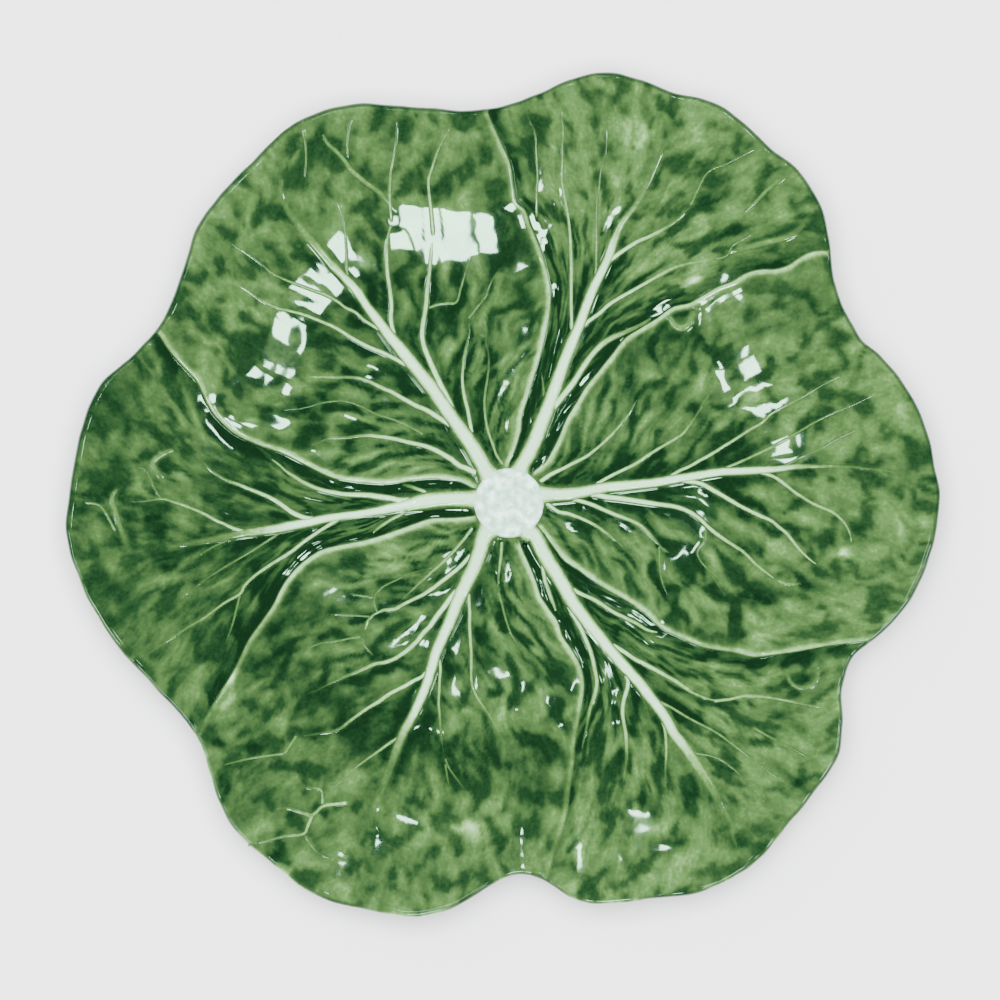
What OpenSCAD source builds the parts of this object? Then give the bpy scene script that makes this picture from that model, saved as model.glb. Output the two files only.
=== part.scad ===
// A dinner plate moulded as a rosette of six overlapping cabbage leaves round a cut stalk.
// Lengths are millimetres. The plate stands on z = 0 with the middle of its outline over the
// origin, and +Y is the top of the view from above.

/* [Plate] */
// Width from the left leaf's tip to the right leaf's tip
plate_w = 265; // [200:5:330]
// Height of the rim where two leaves meet
rim_h = 29; // [22:1:40]
// Height of the eating surface at the stalk
well_h = 7.6; // [7:0.2:10]

/* [Wall] */
// Thickness of the sloping wall
wall_t = 4.6; // [4:0.2:6]
// Thickness of the rounded lip
lip_t = 3.4; // [2.8:0.2:4.4]
// How far the rounding of the lip reaches in from the edge
lip_round = 1.6; // [1:0.2:2.4]

/* [Foot ring] */
// Outer diameter of the foot ring where it leaves the underside
foot_d = 142; // [120:2:150]
// Width of the foot ring at the same place
foot_w = 6.4; // [4:0.2:9]
// Height of the foot ring
foot_h = 3.2; // [2:0.2:4]

/* [Stalk] */
// Diameter of the cut stalk that the leaves grow from
stalk_d = 21.4; // [16:0.2:26]
// Height of the stalk above the eating surface
stalk_h = 2.4; // [1:0.2:4]
// Place of the stalk right of the middle of the outline
stalk_x = 1.9; // [-5:0.1:5]
// Place of the stalk above the middle of the outline, in the view from above
stalk_y = -2.6; // [-5:0.1:5]

/* [Leaves] */
// Rise of an upper leaf's edge over its own surface
edge_lift = 0.8; // [0.2:0.1:1.5]
// Dip of a lower leaf's edge where it goes under its neighbour
edge_tuck = 0.7; // [0.2:0.1:1.2]
// Swelling of each leaf half between its midrib and its edge
leaf_belly = 0.9; // [0:0.1:1.6]
// Droop of the leaf tips below the rim height
tip_droop = 1.5; // [0:0.1:4]

/* [Ribs] */
// Height of a midrib as a share of its width
rib_rise = 0.38; // [0.2:0.02:0.6]
// Height of a side vein as a share of its width
vein_rise = 0.42; // [0.2:0.02:0.6]
// Depth that a side vein's root is let into the leaf
vein_seat = 0.3; // [0.2:0.05:0.5]

/* [Hidden] */

// The points below are read at a plate width of 265, from the stalk's centre, +Y up the view
drawn_w = 265;
size_k = plate_w / drawn_w;
stalk_r = stalk_d / 2;
foot_r = foot_d / 2;
foot_in_r = foot_r - foot_w;

// Mesh steps: rings from stalk to lip, columns in half a leaf, rings round the lip
rings = 26;
half_cols = 8;
lip_steps = 4;
curve_steps = 2;
cols_per_leaf = 2 * half_cols + 3;
leaf_count = 6;
col_count = leaf_count * cols_per_leaf;

leaf_green = [0.33, 0.52, 0.27];
vein_white = [0.86, 0.90, 0.83];
clay_cream = [0.85, 0.79, 0.68];

// The rim, from the right leaf's tip anticlockwise
rim_points = [
    [131, 1], [129.5, 11.5], [125.8, 25.7], [121, 34.8], [113.4, 44.6], [107.3, 49.7],
    [102.3, 58.5], [99, 67], [98, 75.6], [94.8, 90.3], [87.7, 101.4], [79, 108.4],
    [71, 116], [62.9, 121.5], [50.3, 124.8], [40.2, 128.6], [30, 131], [19.5, 129.2],
    [8.9, 124.5], [-2.7, 120.5], [-14.8, 119.4], [-33, 120.8], [-46.6, 121.4], [-58.2, 118.8],
    [-68.8, 113], [-77.4, 104.4], [-86.5, 95.3], [-95, 83.7], [-99.6, 69.5], [-105.7, 55],
    [-114.8, 44.6], [-123.8, 36.6], [-129.4, 24.7], [-133, 7.6], [-134.6, -9], [-130, -25],
    [-120.3, -42], [-107.8, -56], [-97.2, -67.7], [-92.6, -77], [-88.5, -90], [-83, -100],
    [-72, -109.5], [-59.5, -119], [-42, -124], [-28, -125.9], [-17, -123.2], [-6, -116.6],
    [3, -112.9], [11, -115], [20, -120.6], [30, -122], [45, -120], [56, -119],
    [68, -114], [77, -107.4], [85, -97.5], [94, -86.5], [100, -77], [101.5, -67],
    [101.4, -56], [105, -46.5], [115, -38], [123, -28], [128.6, -14]
];

// Where neighbouring leaves meet, from the stalk outwards, anticlockwise from the bottom seam
seam_bottom = [
    [3.5, -13.5], [9.5, -28.5], [16, -40.5], [21.5, -49.5], [22.2, -61], [19.5, -79],
    [17.5, -93.5], [11.3, -114]
];
seam_lower_right = [
    [9.5, -7.5], [16.5, -16.8], [28.5, -25.3], [46.5, -38], [60, -43.9], [75, -46.6],
    [94, -43.7], [109, -41.5]
];
seam_upper_right = [
    [8, 9.7], [15.5, 20], [23.5, 35], [35.5, 50], [50, 59.5], [64, 65.7], [81, 70.8], [98, 76]
];
seam_top = [
    [-0.3, 11.5], [3.8, 26.5], [8.8, 43], [12.4, 61], [9, 78], [2.2, 91.5], [-2.5, 109],
    [-7.2, 119.7]
];
seam_upper_left = [
    [-10.5, 4.5], [-20, 7.4], [-36, 6], [-57, 9.3], [-75.5, 17.6], [-88, 25.3], [-94.5, 36.8],
    [-107.2, 53]
];
seam_lower_left = [
    [-10.8, -4.2], [-29, -6.7], [-50, -12.8], [-62.5, -18], [-69.2, -26], [-79, -41.8],
    [-87.5, -57.5], [-94.3, -70]
];
seams = [
    seam_bottom, seam_lower_right, seam_upper_right, seam_top, seam_upper_left, seam_lower_left
];

// One row for each leaf, anticlockwise: it lies between seam i and seam i + 1
LOWER_RIGHT = 0;
RIGHT = 1;
TOP = 2;
UPPER_LEFT = 3;
LEFT = 4;
LOWER_LEFT = 5;
leaf_on_top = [false, true, false, true, false, true];

// Midribs from the stalk to their tips
midribs = [
    [[8, -9], [16.5, -25], [27, -40], [39.8, -55], [50.2, -70], [60, -84], [66.8, -96.6],
        [72, -108]],
    [[10, 2.5], [25, 3.9], [45, 6.3], [65, 9.5], [85, 10.8], [104, 11], [123, 7.2]],
    [[3.5, 10.5], [10.3, 25], [17.6, 45], [25.6, 65], [32, 80], [41.2, 95.3], [49.8, 114]],
    [[-7, 10], [-17, 25.5], [-31.5, 45], [-46.7, 65], [-61.3, 81], [-68.5, 92], [-68.4, 103.4]],
    [[-10.5, 1.3], [-26, 0.5], [-46, -3.3], [-66, -6.8], [-86, -10.3], [-108, -14]],
    [[-7.5, -10], [-13.3, -25], [-22, -45], [-29.5, -65], [-36, -80], [-41.2, -93]]
];
// How far each midrib reaches, as a share of the way from the stalk to the lip
rib_reach = [0.95, 0.93, 0.93, 0.93, 0.85, 0.81];
// Midrib width along that reach
rib_widths = [[0, 6.6], [0.05, 5.6], [0.25, 4.9], [0.5, 3.7], [0.8, 2.6], [1, 1]];

// Side veins: points from root to tip, then the widths at both ends
veins_lower_right = [
    [[[10.7, -22.5], [14.7, -34.4]], 1.6, 1.2],
    [[[16, -24.5], [28.6, -31.1], [39.2, -36.9], [47, -39.8]], 1.8, 1.2],
    [[[17.8, -28], [24, -43], [26.8, -54.5], [23.3, -69.8], [22, -78]], 1.8, 1],
    [[[33.5, -47], [47.8, -52.6], [60.9, -59.7], [72.6, -59.2]], 1.7, 0.9],
    [[[35.6, -49.5], [35.2, -63], [36, -74], [34, -87]], 1.6, 1],
    [[[45, -62.5], [47.6, -71], [47.5, -85]], 1.4, 0.9],
    [[[43, -59], [62.9, -69.7], [91, -89]], 1.2, 0.8]
];
veins_right = [
    [[[9.4, 6.4], [19, 11.8], [29.6, 19.1], [40.2, 33.2]], 1.6, 0.8],
    [[[13, 0], [26, -6.7], [36, -14.5]], 1.6, 0.9],
    [[[20, 2.6], [33.6, -4], [42.7, -9.4], [50.8, -15.7]], 1.8, 1],
    [[[25, 3], [41.7, 0.2], [57.9, -4.6], [70.5, -14.2], [83.2, -25]], 2.2, 1],
    [[[27, 4.8], [41.7, 14], [53.3, 21.4], [63.9, 36.8]], 1.5, 0.8],
    [[[51.8, 8.4], [65.9, 17.6], [80, 27.2], [100.8, 38.8]], 1.4, 0.8],
    [[[53, 7.6], [70, -0.7], [82.1, -7.3], [92.4, -18], [96, -19.4]], 1.9, 1],
    [[[66, 10], [85.6, 20.1], [105.3, 30.2]], 1.2, 0.8],
    [[[76, 9.9], [89.7, 1.4], [101.3, -5.5], [104, -14]], 1.5, 0.9]
];
veins_top = [
    [[[11.2, 28], [19.5, 36.5], [26.5, 46.5], [35, 51]], 2.2, 1.6],
    [[[19.5, 50], [19, 68.5], [18, 86.7], [16, 102]], 1.5, 0.8],
    [[[23.4, 54], [34.6, 63], [49.3, 71.1], [63.4, 74.1]], 1.7, 0.9],
    [[[26, 66], [26.6, 86], [29.4, 107]], 1.1, 0.8],
    [[[30.4, 74], [42.7, 81], [55.9, 90.7]], 1.7, 0.9],
    [[[8.4, 86.7], [8.6, 99], [5.4, 114]], 1, 0.8]
];
veins_upper_left = [
    [[[-1.7, 11.9], [-6.2, 21.6], [-7.3, 33], [-6.2, 43]], 1.1, 0.8],
    [[[-9.6, 10], [-20, 15], [-36, 19.8], [-50, 20], [-62, 17.5]], 2, 0.9],
    [[[-12.4, 21], [-14.2, 37], [-12.5, 50], [-12.5, 57]], 1.6, 0.9],
    [[[-16.4, 26], [-22.8, 40.3], [-26.5, 51.4], [-24.8, 66], [-23, 82]], 2.2, 1.2],
    [[[-19.4, 26], [-32, 31.7], [-45.6, 38], [-62, 38.8]], 2, 0.9],
    [[[-33.2, 46], [-36, 58], [-37, 75], [-36, 90]], 1.7, 1],
    [[[-32.5, 43.4], [-48, 50.4], [-63.3, 57.5], [-79.4, 64.5]], 1.7, 0.9],
    [[[-42.4, 55.6], [-55.7, 63.2], [-72, 69.8], [-87, 80]], 1.4, 0.8],
    [[[-47.6, 63.5], [-49.7, 80], [-53, 93]], 1.1, 0.8]
];
veins_left = [
    [[[-28, 0.4], [-43, 2.4], [-57.2, 4], [-67.9, 9.7], [-74.4, 14.6]], 2.3, 0.9],
    [[[-32, -1.6], [-42.8, -9.6]], 1.3, 0.9],
    [[[-53, -6], [-67, -15.3], [-81.7, -27.6], [-99, -38.7], [-112, -47.5]], 1.6, 0.8],
    [[[-59, -5.2], [-73.4, 1.9], [-85.5, 6.7], [-96, 15]], 2, 0.8],
    [[[-70, -8.2], [-84.6, -18.4], [-103, -31]], 1.1, 0.8],
    [[[-79, -8.6], [-94.1, -2.6], [-105.2, 1.2], [-117.3, 0.3]], 1.5, 0.8]
];
veins_lower_left = [
    [[[-11, -7.8], [-19, -17], [-35, -31]], 1.2, 0.9],
    [[[-2.2, -12], [-3.4, -27.4], [0.5, -39.5], [7, -50]], 1.2, 0.8],
    [[[-11.4, -18], [-25.9, -27.8], [-38, -32.6], [-44.8, -40.7]], 1.9, 1],
    [[[-12.8, -26], [-11.5, -46], [-9.7, -59.2], [0, -76]], 1.5, 0.8],
    [[[-14.5, -26], [-25.9, -39.4], [-37.5, -48.5], [-52.7, -54.1], [-64.8, -59.1]], 2.2, 0.9],
    [[[-21.2, -44], [-21.1, -64.2], [-19.8, -79]], 1.3, 0.9],
    [[[-24.6, -51.5], [-39, -60], [-53.2, -69.3], [-68.2, -75.9], [-85, -79]], 1.7, 0.8],
    [[[-31.8, -69.6], [-44, -78.5], [-55.6, -88]], 1.3, 0.8]
];

// Rise from the eating surface to the rim: share of the way out, share of the height
bowl_profile = [
    [0, 0], [0.3, 0.01], [0.42, 0.045], [0.52, 0.14], [0.6, 0.29], [0.67, 0.46],
    [0.74, 0.62], [0.82, 0.75], [0.9, 0.87], [1, 1]
];

// The stalk's centre in the plate's frame
stalk_at = [stalk_x, stalk_y];
// Bearings run from here once round, so that no seam or midrib crosses the cut
BEARING_CUT = -100;
function bearing(p) = let (a = atan2(p[1], p[0])) a < BEARING_CUT ? a + 360 : a;
function scaled(points) = [for (p = points) p * size_k];
function mix(a, b, share) = a + (b - a) * share;
function ease(x) = let (c = min(1, max(0, x))) c * c * (3 - 2 * c);

// A smooth curve of y over x through a table's rows
function row_at(table, x, i = 0) = i >= len(table) - 2 || x < table[i + 1][0] ? i
    : row_at(table, x, i + 1);
function slope_at(table, i) = let (a = max(0, i - 1), b = min(len(table) - 1, i + 1))
    (table[b][1] - table[a][1]) / (table[b][0] - table[a][0]);
function smooth_lookup(table, x) = let (
        i = row_at(table, x),
        span = table[i + 1][0] - table[i][0],
        f = min(1, max(0, (x - table[i][0]) / span)),
        hold = f * f * (3 - 2 * f)
    )
    mix(table[i][1], table[i + 1][1], hold)
        + span * f * (1 - f) * (slope_at(table, i) * (1 - f) - slope_at(table, i + 1) * f);

// Radius of the outline over the bearing, with the table carried on past both ends
rim_polar = let (
        polar = [for (p = scaled(rim_points)) [(atan2(p[1], p[0]) + 360) % 360, norm(p)]],
        last = len(polar) - 1
    )
    [
        for (i = [last - 1, last]) [polar[i][0] - 360, polar[i][1]],
        for (row = polar) row,
        for (i = [0, 1]) [polar[i][0] + 360, polar[i][1]]
    ];
rim_table = [for (a = [0:360]) [a, smooth_lookup(rim_polar, a)]];
function rim_r(a) = lookup((a + 720) % 360, rim_table);

// Share of the way from the stalk's edge to where the lip's rounding begins
function reach(p) = (norm(p) - stalk_r) / (rim_r(bearing(p)) - lip_round - stalk_r);
function radius_at(a, t) = mix(stalk_r, rim_r(a) - lip_round, t);
function bearing_table(points) = [for (p = scaled(points)) [reach(p), bearing(p)]];

seam_tables = [for (s = seams) bearing_table(s)];
rib_tables = [for (r = midribs) bearing_table(r)];
function seam_bearing(i, t) = smooth_lookup(seam_tables[i % leaf_count], t)
    + 360 * floor(i / leaf_count);
function rib_bearing(leaf, t) = smooth_lookup(rib_tables[leaf], t);
function rib_width(leaf, t) = size_k * smooth_lookup(rib_widths, min(1, t / rib_reach[leaf]));
function degrees_over(length, radius) = 2 * asin(min(1, length / 2 / radius));

// Height of the leaves' surface. side runs from -1 at a leaf's first seam to 1 at its second.
function relief(leaf, t, side) = let (
        across = abs(side),
        grow = ease((t - 0.02) / 0.18),
        edge = leaf_on_top[leaf] ? edge_lift * pow(across, 5) : -edge_tuck * pow(across, 4)
    )
    grow * (edge + leaf_belly * sin(180 * pow(across, 1.2)));
function droop(t, side) = -tip_droop * ease((t - 0.45) / 0.55) * (1 - side * side);
function bowl_height(t) = mix(well_h, rim_h, smooth_lookup(bowl_profile, t));
function skin_height(leaf, t, side) = bowl_height(t) + droop(t, side) + relief(leaf, t, side);

// A lower leaf's edge is drawn in by this much, so that the step to its neighbour has a slope
step_run = 0.7;
function leaf_start(leaf, t) = seam_bearing(leaf, t)
    + (leaf_on_top[leaf] ? 0 : degrees_over(step_run, radius_at(seam_bearing(leaf, t), t)));
function leaf_end(leaf, t) = seam_bearing(leaf + 1, t)
    - (leaf_on_top[leaf] ? 0 : degrees_over(step_run, radius_at(seam_bearing(leaf + 1, t), t)));
function skin_point(leaf, t, a, side) = let (r = radius_at(a, t))
    [r * cos(a), r * sin(a), skin_height(leaf, t, side)];

// One leaf's row of surface points at one ring: half, rib edge, rib, rib edge, half
function rib_point(leaf, t, edge) = let (
        middle = rib_bearing(leaf, t),
        a = middle + edge * degrees_over(rib_width(leaf, t) / 2, radius_at(middle, t))
    )
    skin_point(leaf, t, a, 0);
function half_points(leaf, t, from, to, outward) = [
    for (i = [0:half_cols - 1]) let (f = (outward ? i + 1 : i) / half_cols)
        skin_point(leaf, t, mix(from, to, f), outward ? f : f - 1)
];
function leaf_row(leaf, t) = let (
        right = rib_point(leaf, t, -1),
        left = rib_point(leaf, t, 1)
    )
    concat(
        half_points(leaf, t, leaf_start(leaf, t), bearing(right), false),
        [right, rib_point(leaf, t, 0), left],
        half_points(leaf, t, bearing(left), leaf_end(leaf, t), true)
    );
function skin_ring(t) = [for (leaf = [0:leaf_count - 1]) each leaf_row(leaf, t)];

// The leaf that holds a point, and how far the point lies from its midrib to its seam
function leaf_under(a, t, leaf = 0) = leaf == leaf_count - 1 || a < seam_bearing(leaf + 1, t)
    ? leaf
    : leaf_under(a, t, leaf + 1);
function side_of(leaf, t, a) = let (
        middle = rib_bearing(leaf, t),
        end = a < middle ? leaf_start(leaf, t) : leaf_end(leaf, t)
    )
    min(1, abs((a - middle) / (end - middle)));
function leaf_and_side(p, t) = let (
        turn = bearing(p),
        a = turn < seam_bearing(0, t) ? turn + 360 : turn,
        leaf = leaf_under(a, t)
    )
    [leaf, side_of(leaf, t, a)];

// Rings round the lip: a half ellipse from the skin's edge to the underside's smooth edge
function under_edge(p) = rim_h - lip_t + droop(1, leaf_and_side(p, 1)[1]);
function lip_ring(edge_ring, turn) = [
    for (p = edge_ring) let (
        plan = [p[0], p[1]],
        out = lip_round * sin(turn),
        spread = plan * (1 + out / norm(plan))
    )
    [spread[0], spread[1], mix(p[2], under_edge(plan), (1 - cos(turn)) / 2)]
];

// Underside: smooth from the lip in to the foot ring's seat, which is round about the origin
under_shares = [1, 0.86, 0.72, 0.58, 0.44, 0.3, 0.2, 0.1, 0];
// The wall leans, so it is a little thicker straight down than across
wall_slant = 1.04;
// Run over which the wall leaves the flat round the foot ring
heel_run = 13;
function wall_under(p) = let (
        t = reach(p),
        thickness = mix(wall_t * wall_slant, lip_t, ease((t - 0.6) / 0.4))
    )
    bowl_height(t) + droop(t, leaf_and_side(p, t)[1]) - thickness;
function under_height(p) =
    mix(foot_h, wall_under(p), ease((norm(p + stalk_at) - foot_r) / heel_run));
function under_ring(edge_ring, share) = [
    for (p = edge_ring) let (
        edge = [p[0], p[1]] + stalk_at,
        seat = edge * foot_r / norm(edge),
        plan = mix(seat, edge, share) - stalk_at
    )
    [plan[0], plan[1], under_height(plan)]
];
function seat_ring(edge_ring, radius) = [
    for (p = edge_ring) let (
        edge = [p[0], p[1]] + stalk_at,
        plan = edge * radius / norm(edge) - stalk_at
    )
    [plan[0], plan[1], foot_h]
];

// Triangles between rings of equal count, one ring after the other
function band_faces(ring_total, count) = [
    for (i = [0:ring_total - 2], j = [0:count - 1]) let (
        a = i * count + j,
        b = i * count + (j + 1) % count,
        c = b + count,
        d = a + count
    )
    each [[a, b, c], [a, c, d]]
];

module plate_body() {
    edge_ring = skin_ring(1);
    loops = [
        for (i = [0:rings - 1]) skin_ring(i / rings),
        edge_ring,
        for (i = [1:lip_steps - 1]) lip_ring(edge_ring, 180 * i / lip_steps),
        for (share = under_shares) under_ring(edge_ring, share),
        seat_ring(edge_ring, foot_in_r)
    ];
    top_middle = len(loops) * col_count;
    low_middle = top_middle + 1;
    last_loop = top_middle - col_count;
    points = concat(
        [for (loop = loops) each loop],
        [[0, 0, well_h], [-stalk_x, -stalk_y, foot_h]]
    );
    faces = concat(
        band_faces(len(loops), col_count),
        [for (j = [0:col_count - 1]) [top_middle, (j + 1) % col_count, j]],
        [for (j = [0:col_count - 1]) [low_middle, last_loop + j, last_loop + (j + 1) % col_count]]
    );
    color(leaf_green)
        translate([stalk_x, stalk_y, 0])
            polyhedron(points, faces);
}

// Bare clay ring that the plate stands on, with its corners eased
module foot_ring() {
    ease_w = 0.9;
    ease_h = 0.5;
    taper = 0.7;
    color(clay_cream)
        rotate_extrude($fn = 128)
            polygon([
                [foot_in_r, foot_h], [foot_in_r + taper, ease_h], [foot_in_r + taper + ease_w, 0],
                [foot_r - taper - ease_w, 0], [foot_r - taper, ease_h], [foot_r, foot_h]
            ]);
}

// Cut face of the stalk: a low drum with a rounded edge and a slightly sunken middle
module stalk_disc() {
    edge_round = 1;
    sink = 0.3;
    color(vein_white)
        translate([stalk_x, stalk_y, well_h])
            rotate_extrude($fn = 96)
                polygon([
                    [0, 0], [stalk_r, 0], [stalk_r, stalk_h - edge_round],
                    for (a = [15:15:90])
                        [stalk_r - edge_round * (1 - cos(a)), stalk_h - edge_round * (1 - sin(a))],
                    [stalk_r * 0.5, stalk_h - sink * 0.8], [0, stalk_h - sink]
                ]);
}

// A solid made of equal loops, one after the other, closed at both ends
module swept(loops) {
    count = len(loops[0]);
    last = (len(loops) - 1) * count;
    polyhedron(
        [for (loop = loops) each loop],
        concat(
            band_faces(len(loops), count),
            [for (i = [1:count - 2]) [0, i + 1, i]],
            [for (i = [1:count - 2]) [last, last + i, last + i + 1]]
        )
    );
}

// A midrib stands on the strip that the leaf's surface keeps for it. Its shoulders stand this
// share of the way out to its edges, at this share of its height.
shoulder_out = 0.55;
shoulder_up = 0.75;
function rib_loop(leaf, t) = let (
        right = rib_point(leaf, t, -1),
        middle = rib_point(leaf, t, 0),
        left = rib_point(leaf, t, 1),
        rise = [0, 0, rib_rise * rib_width(leaf, t)]
    )
    [left, middle, right, mix(middle, right, shoulder_out) + rise * shoulder_up,
        middle + rise, mix(middle, left, shoulder_out) + rise * shoulder_up];
module midrib(leaf) {
    last_ring = round(rib_reach[leaf] * rings);
    swept([for (i = [0:last_ring]) rib_loop(leaf, i / rings)]);
}

// Height of the surface under any point
function skin_under(p) = let (
        t = min(1, reach(p)),
        found = leaf_and_side(p, t)
    )
    skin_height(found[0], t, found[1]);

// A smooth path through a side vein's points
function spline_point(points, i, f) = let (
        last = len(points) - 1,
        before = points[max(0, i - 1)],
        from = points[i],
        to = points[i + 1],
        after = points[min(last, i + 2)]
    )
    (2 * from + (to - before) * f + (2 * before - 5 * from + 4 * to - after) * f * f
        + (3 * from - before - 3 * to + after) * f * f * f) / 2;
function spline(points) = [
    for (i = [0:len(points) - 2], s = [0:curve_steps - 1]) spline_point(points, i, s / curve_steps),
    points[len(points) - 1]
];

// A side vein is a low ridge whose root is let into the leaf
module side_vein(row) {
    path = spline(scaled(row[0]));
    last = len(path) - 1;
    swept([
        for (i = [0:last]) let (
            along = path[min(last, i + 1)] - path[max(0, i - 1)],
            across = [along[1], -along[0]] / norm(along),
            width = size_k * mix(row[1], row[2], i / last),
            skin = skin_under(path[i]),
            foot = across * width / 2,
            crest = across * width / 5,
            low = skin - vein_seat,
            high = skin + vein_rise * width
        )
        [
            [path[i][0] - foot[0], path[i][1] - foot[1], low],
            [path[i][0] + foot[0], path[i][1] + foot[1], low],
            [path[i][0] + crest[0], path[i][1] + crest[1], high],
            [path[i][0] - crest[0], path[i][1] - crest[1], high]
        ]
    ]);
}

// One leaf's midrib with its side veins
module leaf_ribs(leaf, veins) {
    color(vein_white)
        translate([stalk_x, stalk_y, 0]) {
            midrib(leaf);
            for (row = veins) side_vein(row);
        }
}

module ribs_upper_left() {
    leaf_ribs(UPPER_LEFT, veins_upper_left);
}

module ribs_top() {
    leaf_ribs(TOP, veins_top);
}

module ribs_right() {
    leaf_ribs(RIGHT, veins_right);
}

module ribs_lower_right() {
    leaf_ribs(LOWER_RIGHT, veins_lower_right);
}

module ribs_lower_left() {
    leaf_ribs(LOWER_LEFT, veins_lower_left);
}

module ribs_left() {
    leaf_ribs(LEFT, veins_left);
}

plate_body();
foot_ring();
stalk_disc();
ribs_upper_left();
ribs_top();
ribs_right();
ribs_lower_right();
ribs_lower_left();
ribs_left();
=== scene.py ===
import math

import bpy
import numpy as np
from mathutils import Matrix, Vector


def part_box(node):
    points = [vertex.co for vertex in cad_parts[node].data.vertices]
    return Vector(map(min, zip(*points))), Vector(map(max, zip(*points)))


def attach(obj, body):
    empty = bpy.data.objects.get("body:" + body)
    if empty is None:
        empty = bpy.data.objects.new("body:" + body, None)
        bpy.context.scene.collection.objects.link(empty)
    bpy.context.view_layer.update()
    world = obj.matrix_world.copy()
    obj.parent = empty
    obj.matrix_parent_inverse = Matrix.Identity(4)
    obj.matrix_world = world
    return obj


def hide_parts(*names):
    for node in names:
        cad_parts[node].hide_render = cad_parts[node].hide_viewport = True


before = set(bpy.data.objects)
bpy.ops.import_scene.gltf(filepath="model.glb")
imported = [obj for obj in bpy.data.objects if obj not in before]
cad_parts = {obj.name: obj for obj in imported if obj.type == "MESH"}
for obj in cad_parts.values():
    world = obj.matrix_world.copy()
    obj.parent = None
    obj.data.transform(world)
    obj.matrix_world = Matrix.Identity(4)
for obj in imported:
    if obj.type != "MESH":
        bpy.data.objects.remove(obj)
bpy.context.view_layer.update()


# The plate is worked out in millimetres from the stalk's centre, +Y up the view from above
MM = 0.001
stalk_low, stalk_high = (np.array(corner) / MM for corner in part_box("stalk_disc"))
STALK_X, STALK_Y = ((stalk_low + stalk_high) / 2)[:2]
STALK_R = (stalk_high[0] - stalk_low[0]) / 2
STALK_TOP = stalk_high[2]
WELL_H = stalk_low[2]

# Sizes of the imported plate
RIM_H = 29.0
WALL_T = 4.6
WALL_SLANT = 1.04
LIP_T = 3.4
LIP_ROUND = 1.6
FOOT_R = 71.0
FOOT_IN_R = 64.6
FOOT_H = 3.2
HEEL_RUN = 13.0
TIP_DROOP = 1.5
LEAF_BELLY = 0.9
RIB_RISE = 0.33
VEIN_RISE = 0.34
# The highest that the relief may come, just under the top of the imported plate
TOP_LIMIT = 29.76
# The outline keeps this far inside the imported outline
OUTLINE_INSET = 0.1

# Rise from the eating surface to the rim: share of the way out, share of the height
BOWL_PROFILE = np.array([
    (0, 0), (0.3, 0.01), (0.42, 0.045), (0.52, 0.14), (0.6, 0.29), (0.67, 0.46), (0.74, 0.62),
    (0.82, 0.75), (0.9, 0.87), (1, 1),
])

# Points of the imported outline, once round
RIM_POINTS = [
    (131, 1), (129.5, 11.5), (125.8, 25.7), (121, 34.8), (113.4, 44.6), (107.3, 49.7),
    (102.3, 58.5), (99, 67), (98, 75.6), (94.8, 90.3), (87.7, 101.4), (79, 108.4), (71, 116),
    (62.9, 121.5), (50.3, 124.8), (40.2, 128.6), (30, 131), (19.5, 129.2), (8.9, 124.5),
    (-2.7, 120.5), (-14.8, 119.4), (-33, 120.8), (-46.6, 121.4), (-58.2, 118.8), (-68.8, 113),
    (-77.4, 104.4), (-86.5, 95.3), (-95, 83.7), (-99.6, 69.5), (-105.7, 55), (-114.8, 44.6),
    (-123.8, 36.6), (-129.4, 24.7), (-133, 7.6), (-134.6, -9), (-130, -25), (-120.3, -42),
    (-107.8, -56), (-97.2, -67.7), (-92.6, -77), (-88.5, -90), (-83, -100), (-72, -109.5),
    (-59.5, -119), (-42, -124), (-28, -125.9), (-17, -123.2), (-6, -116.6), (3, -112.9),
    (11, -115), (20, -120.6), (30, -122), (45, -120), (56, -119), (68, -114), (77, -107.4),
    (85, -97.5), (94, -86.5), (100, -77), (101.5, -67), (101.4, -56), (105, -46.5), (115, -38),
    (123, -28), (128.6, -14),
]
# Leaves in the plate's order, anticlockwise; a leaf lies between its own seam and the next one
LOWER_RIGHT, RIGHT, TOP, UPPER_LEFT, LEFT, LOWER_LEFT = range(6)
LEAF_COUNT = 6
LEAF_ON_TOP = [False, True, False, True, False, True]
# Bearings run from this one; the last leaf lies on both sides of it
BEARING_CUT = -100.0

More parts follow.
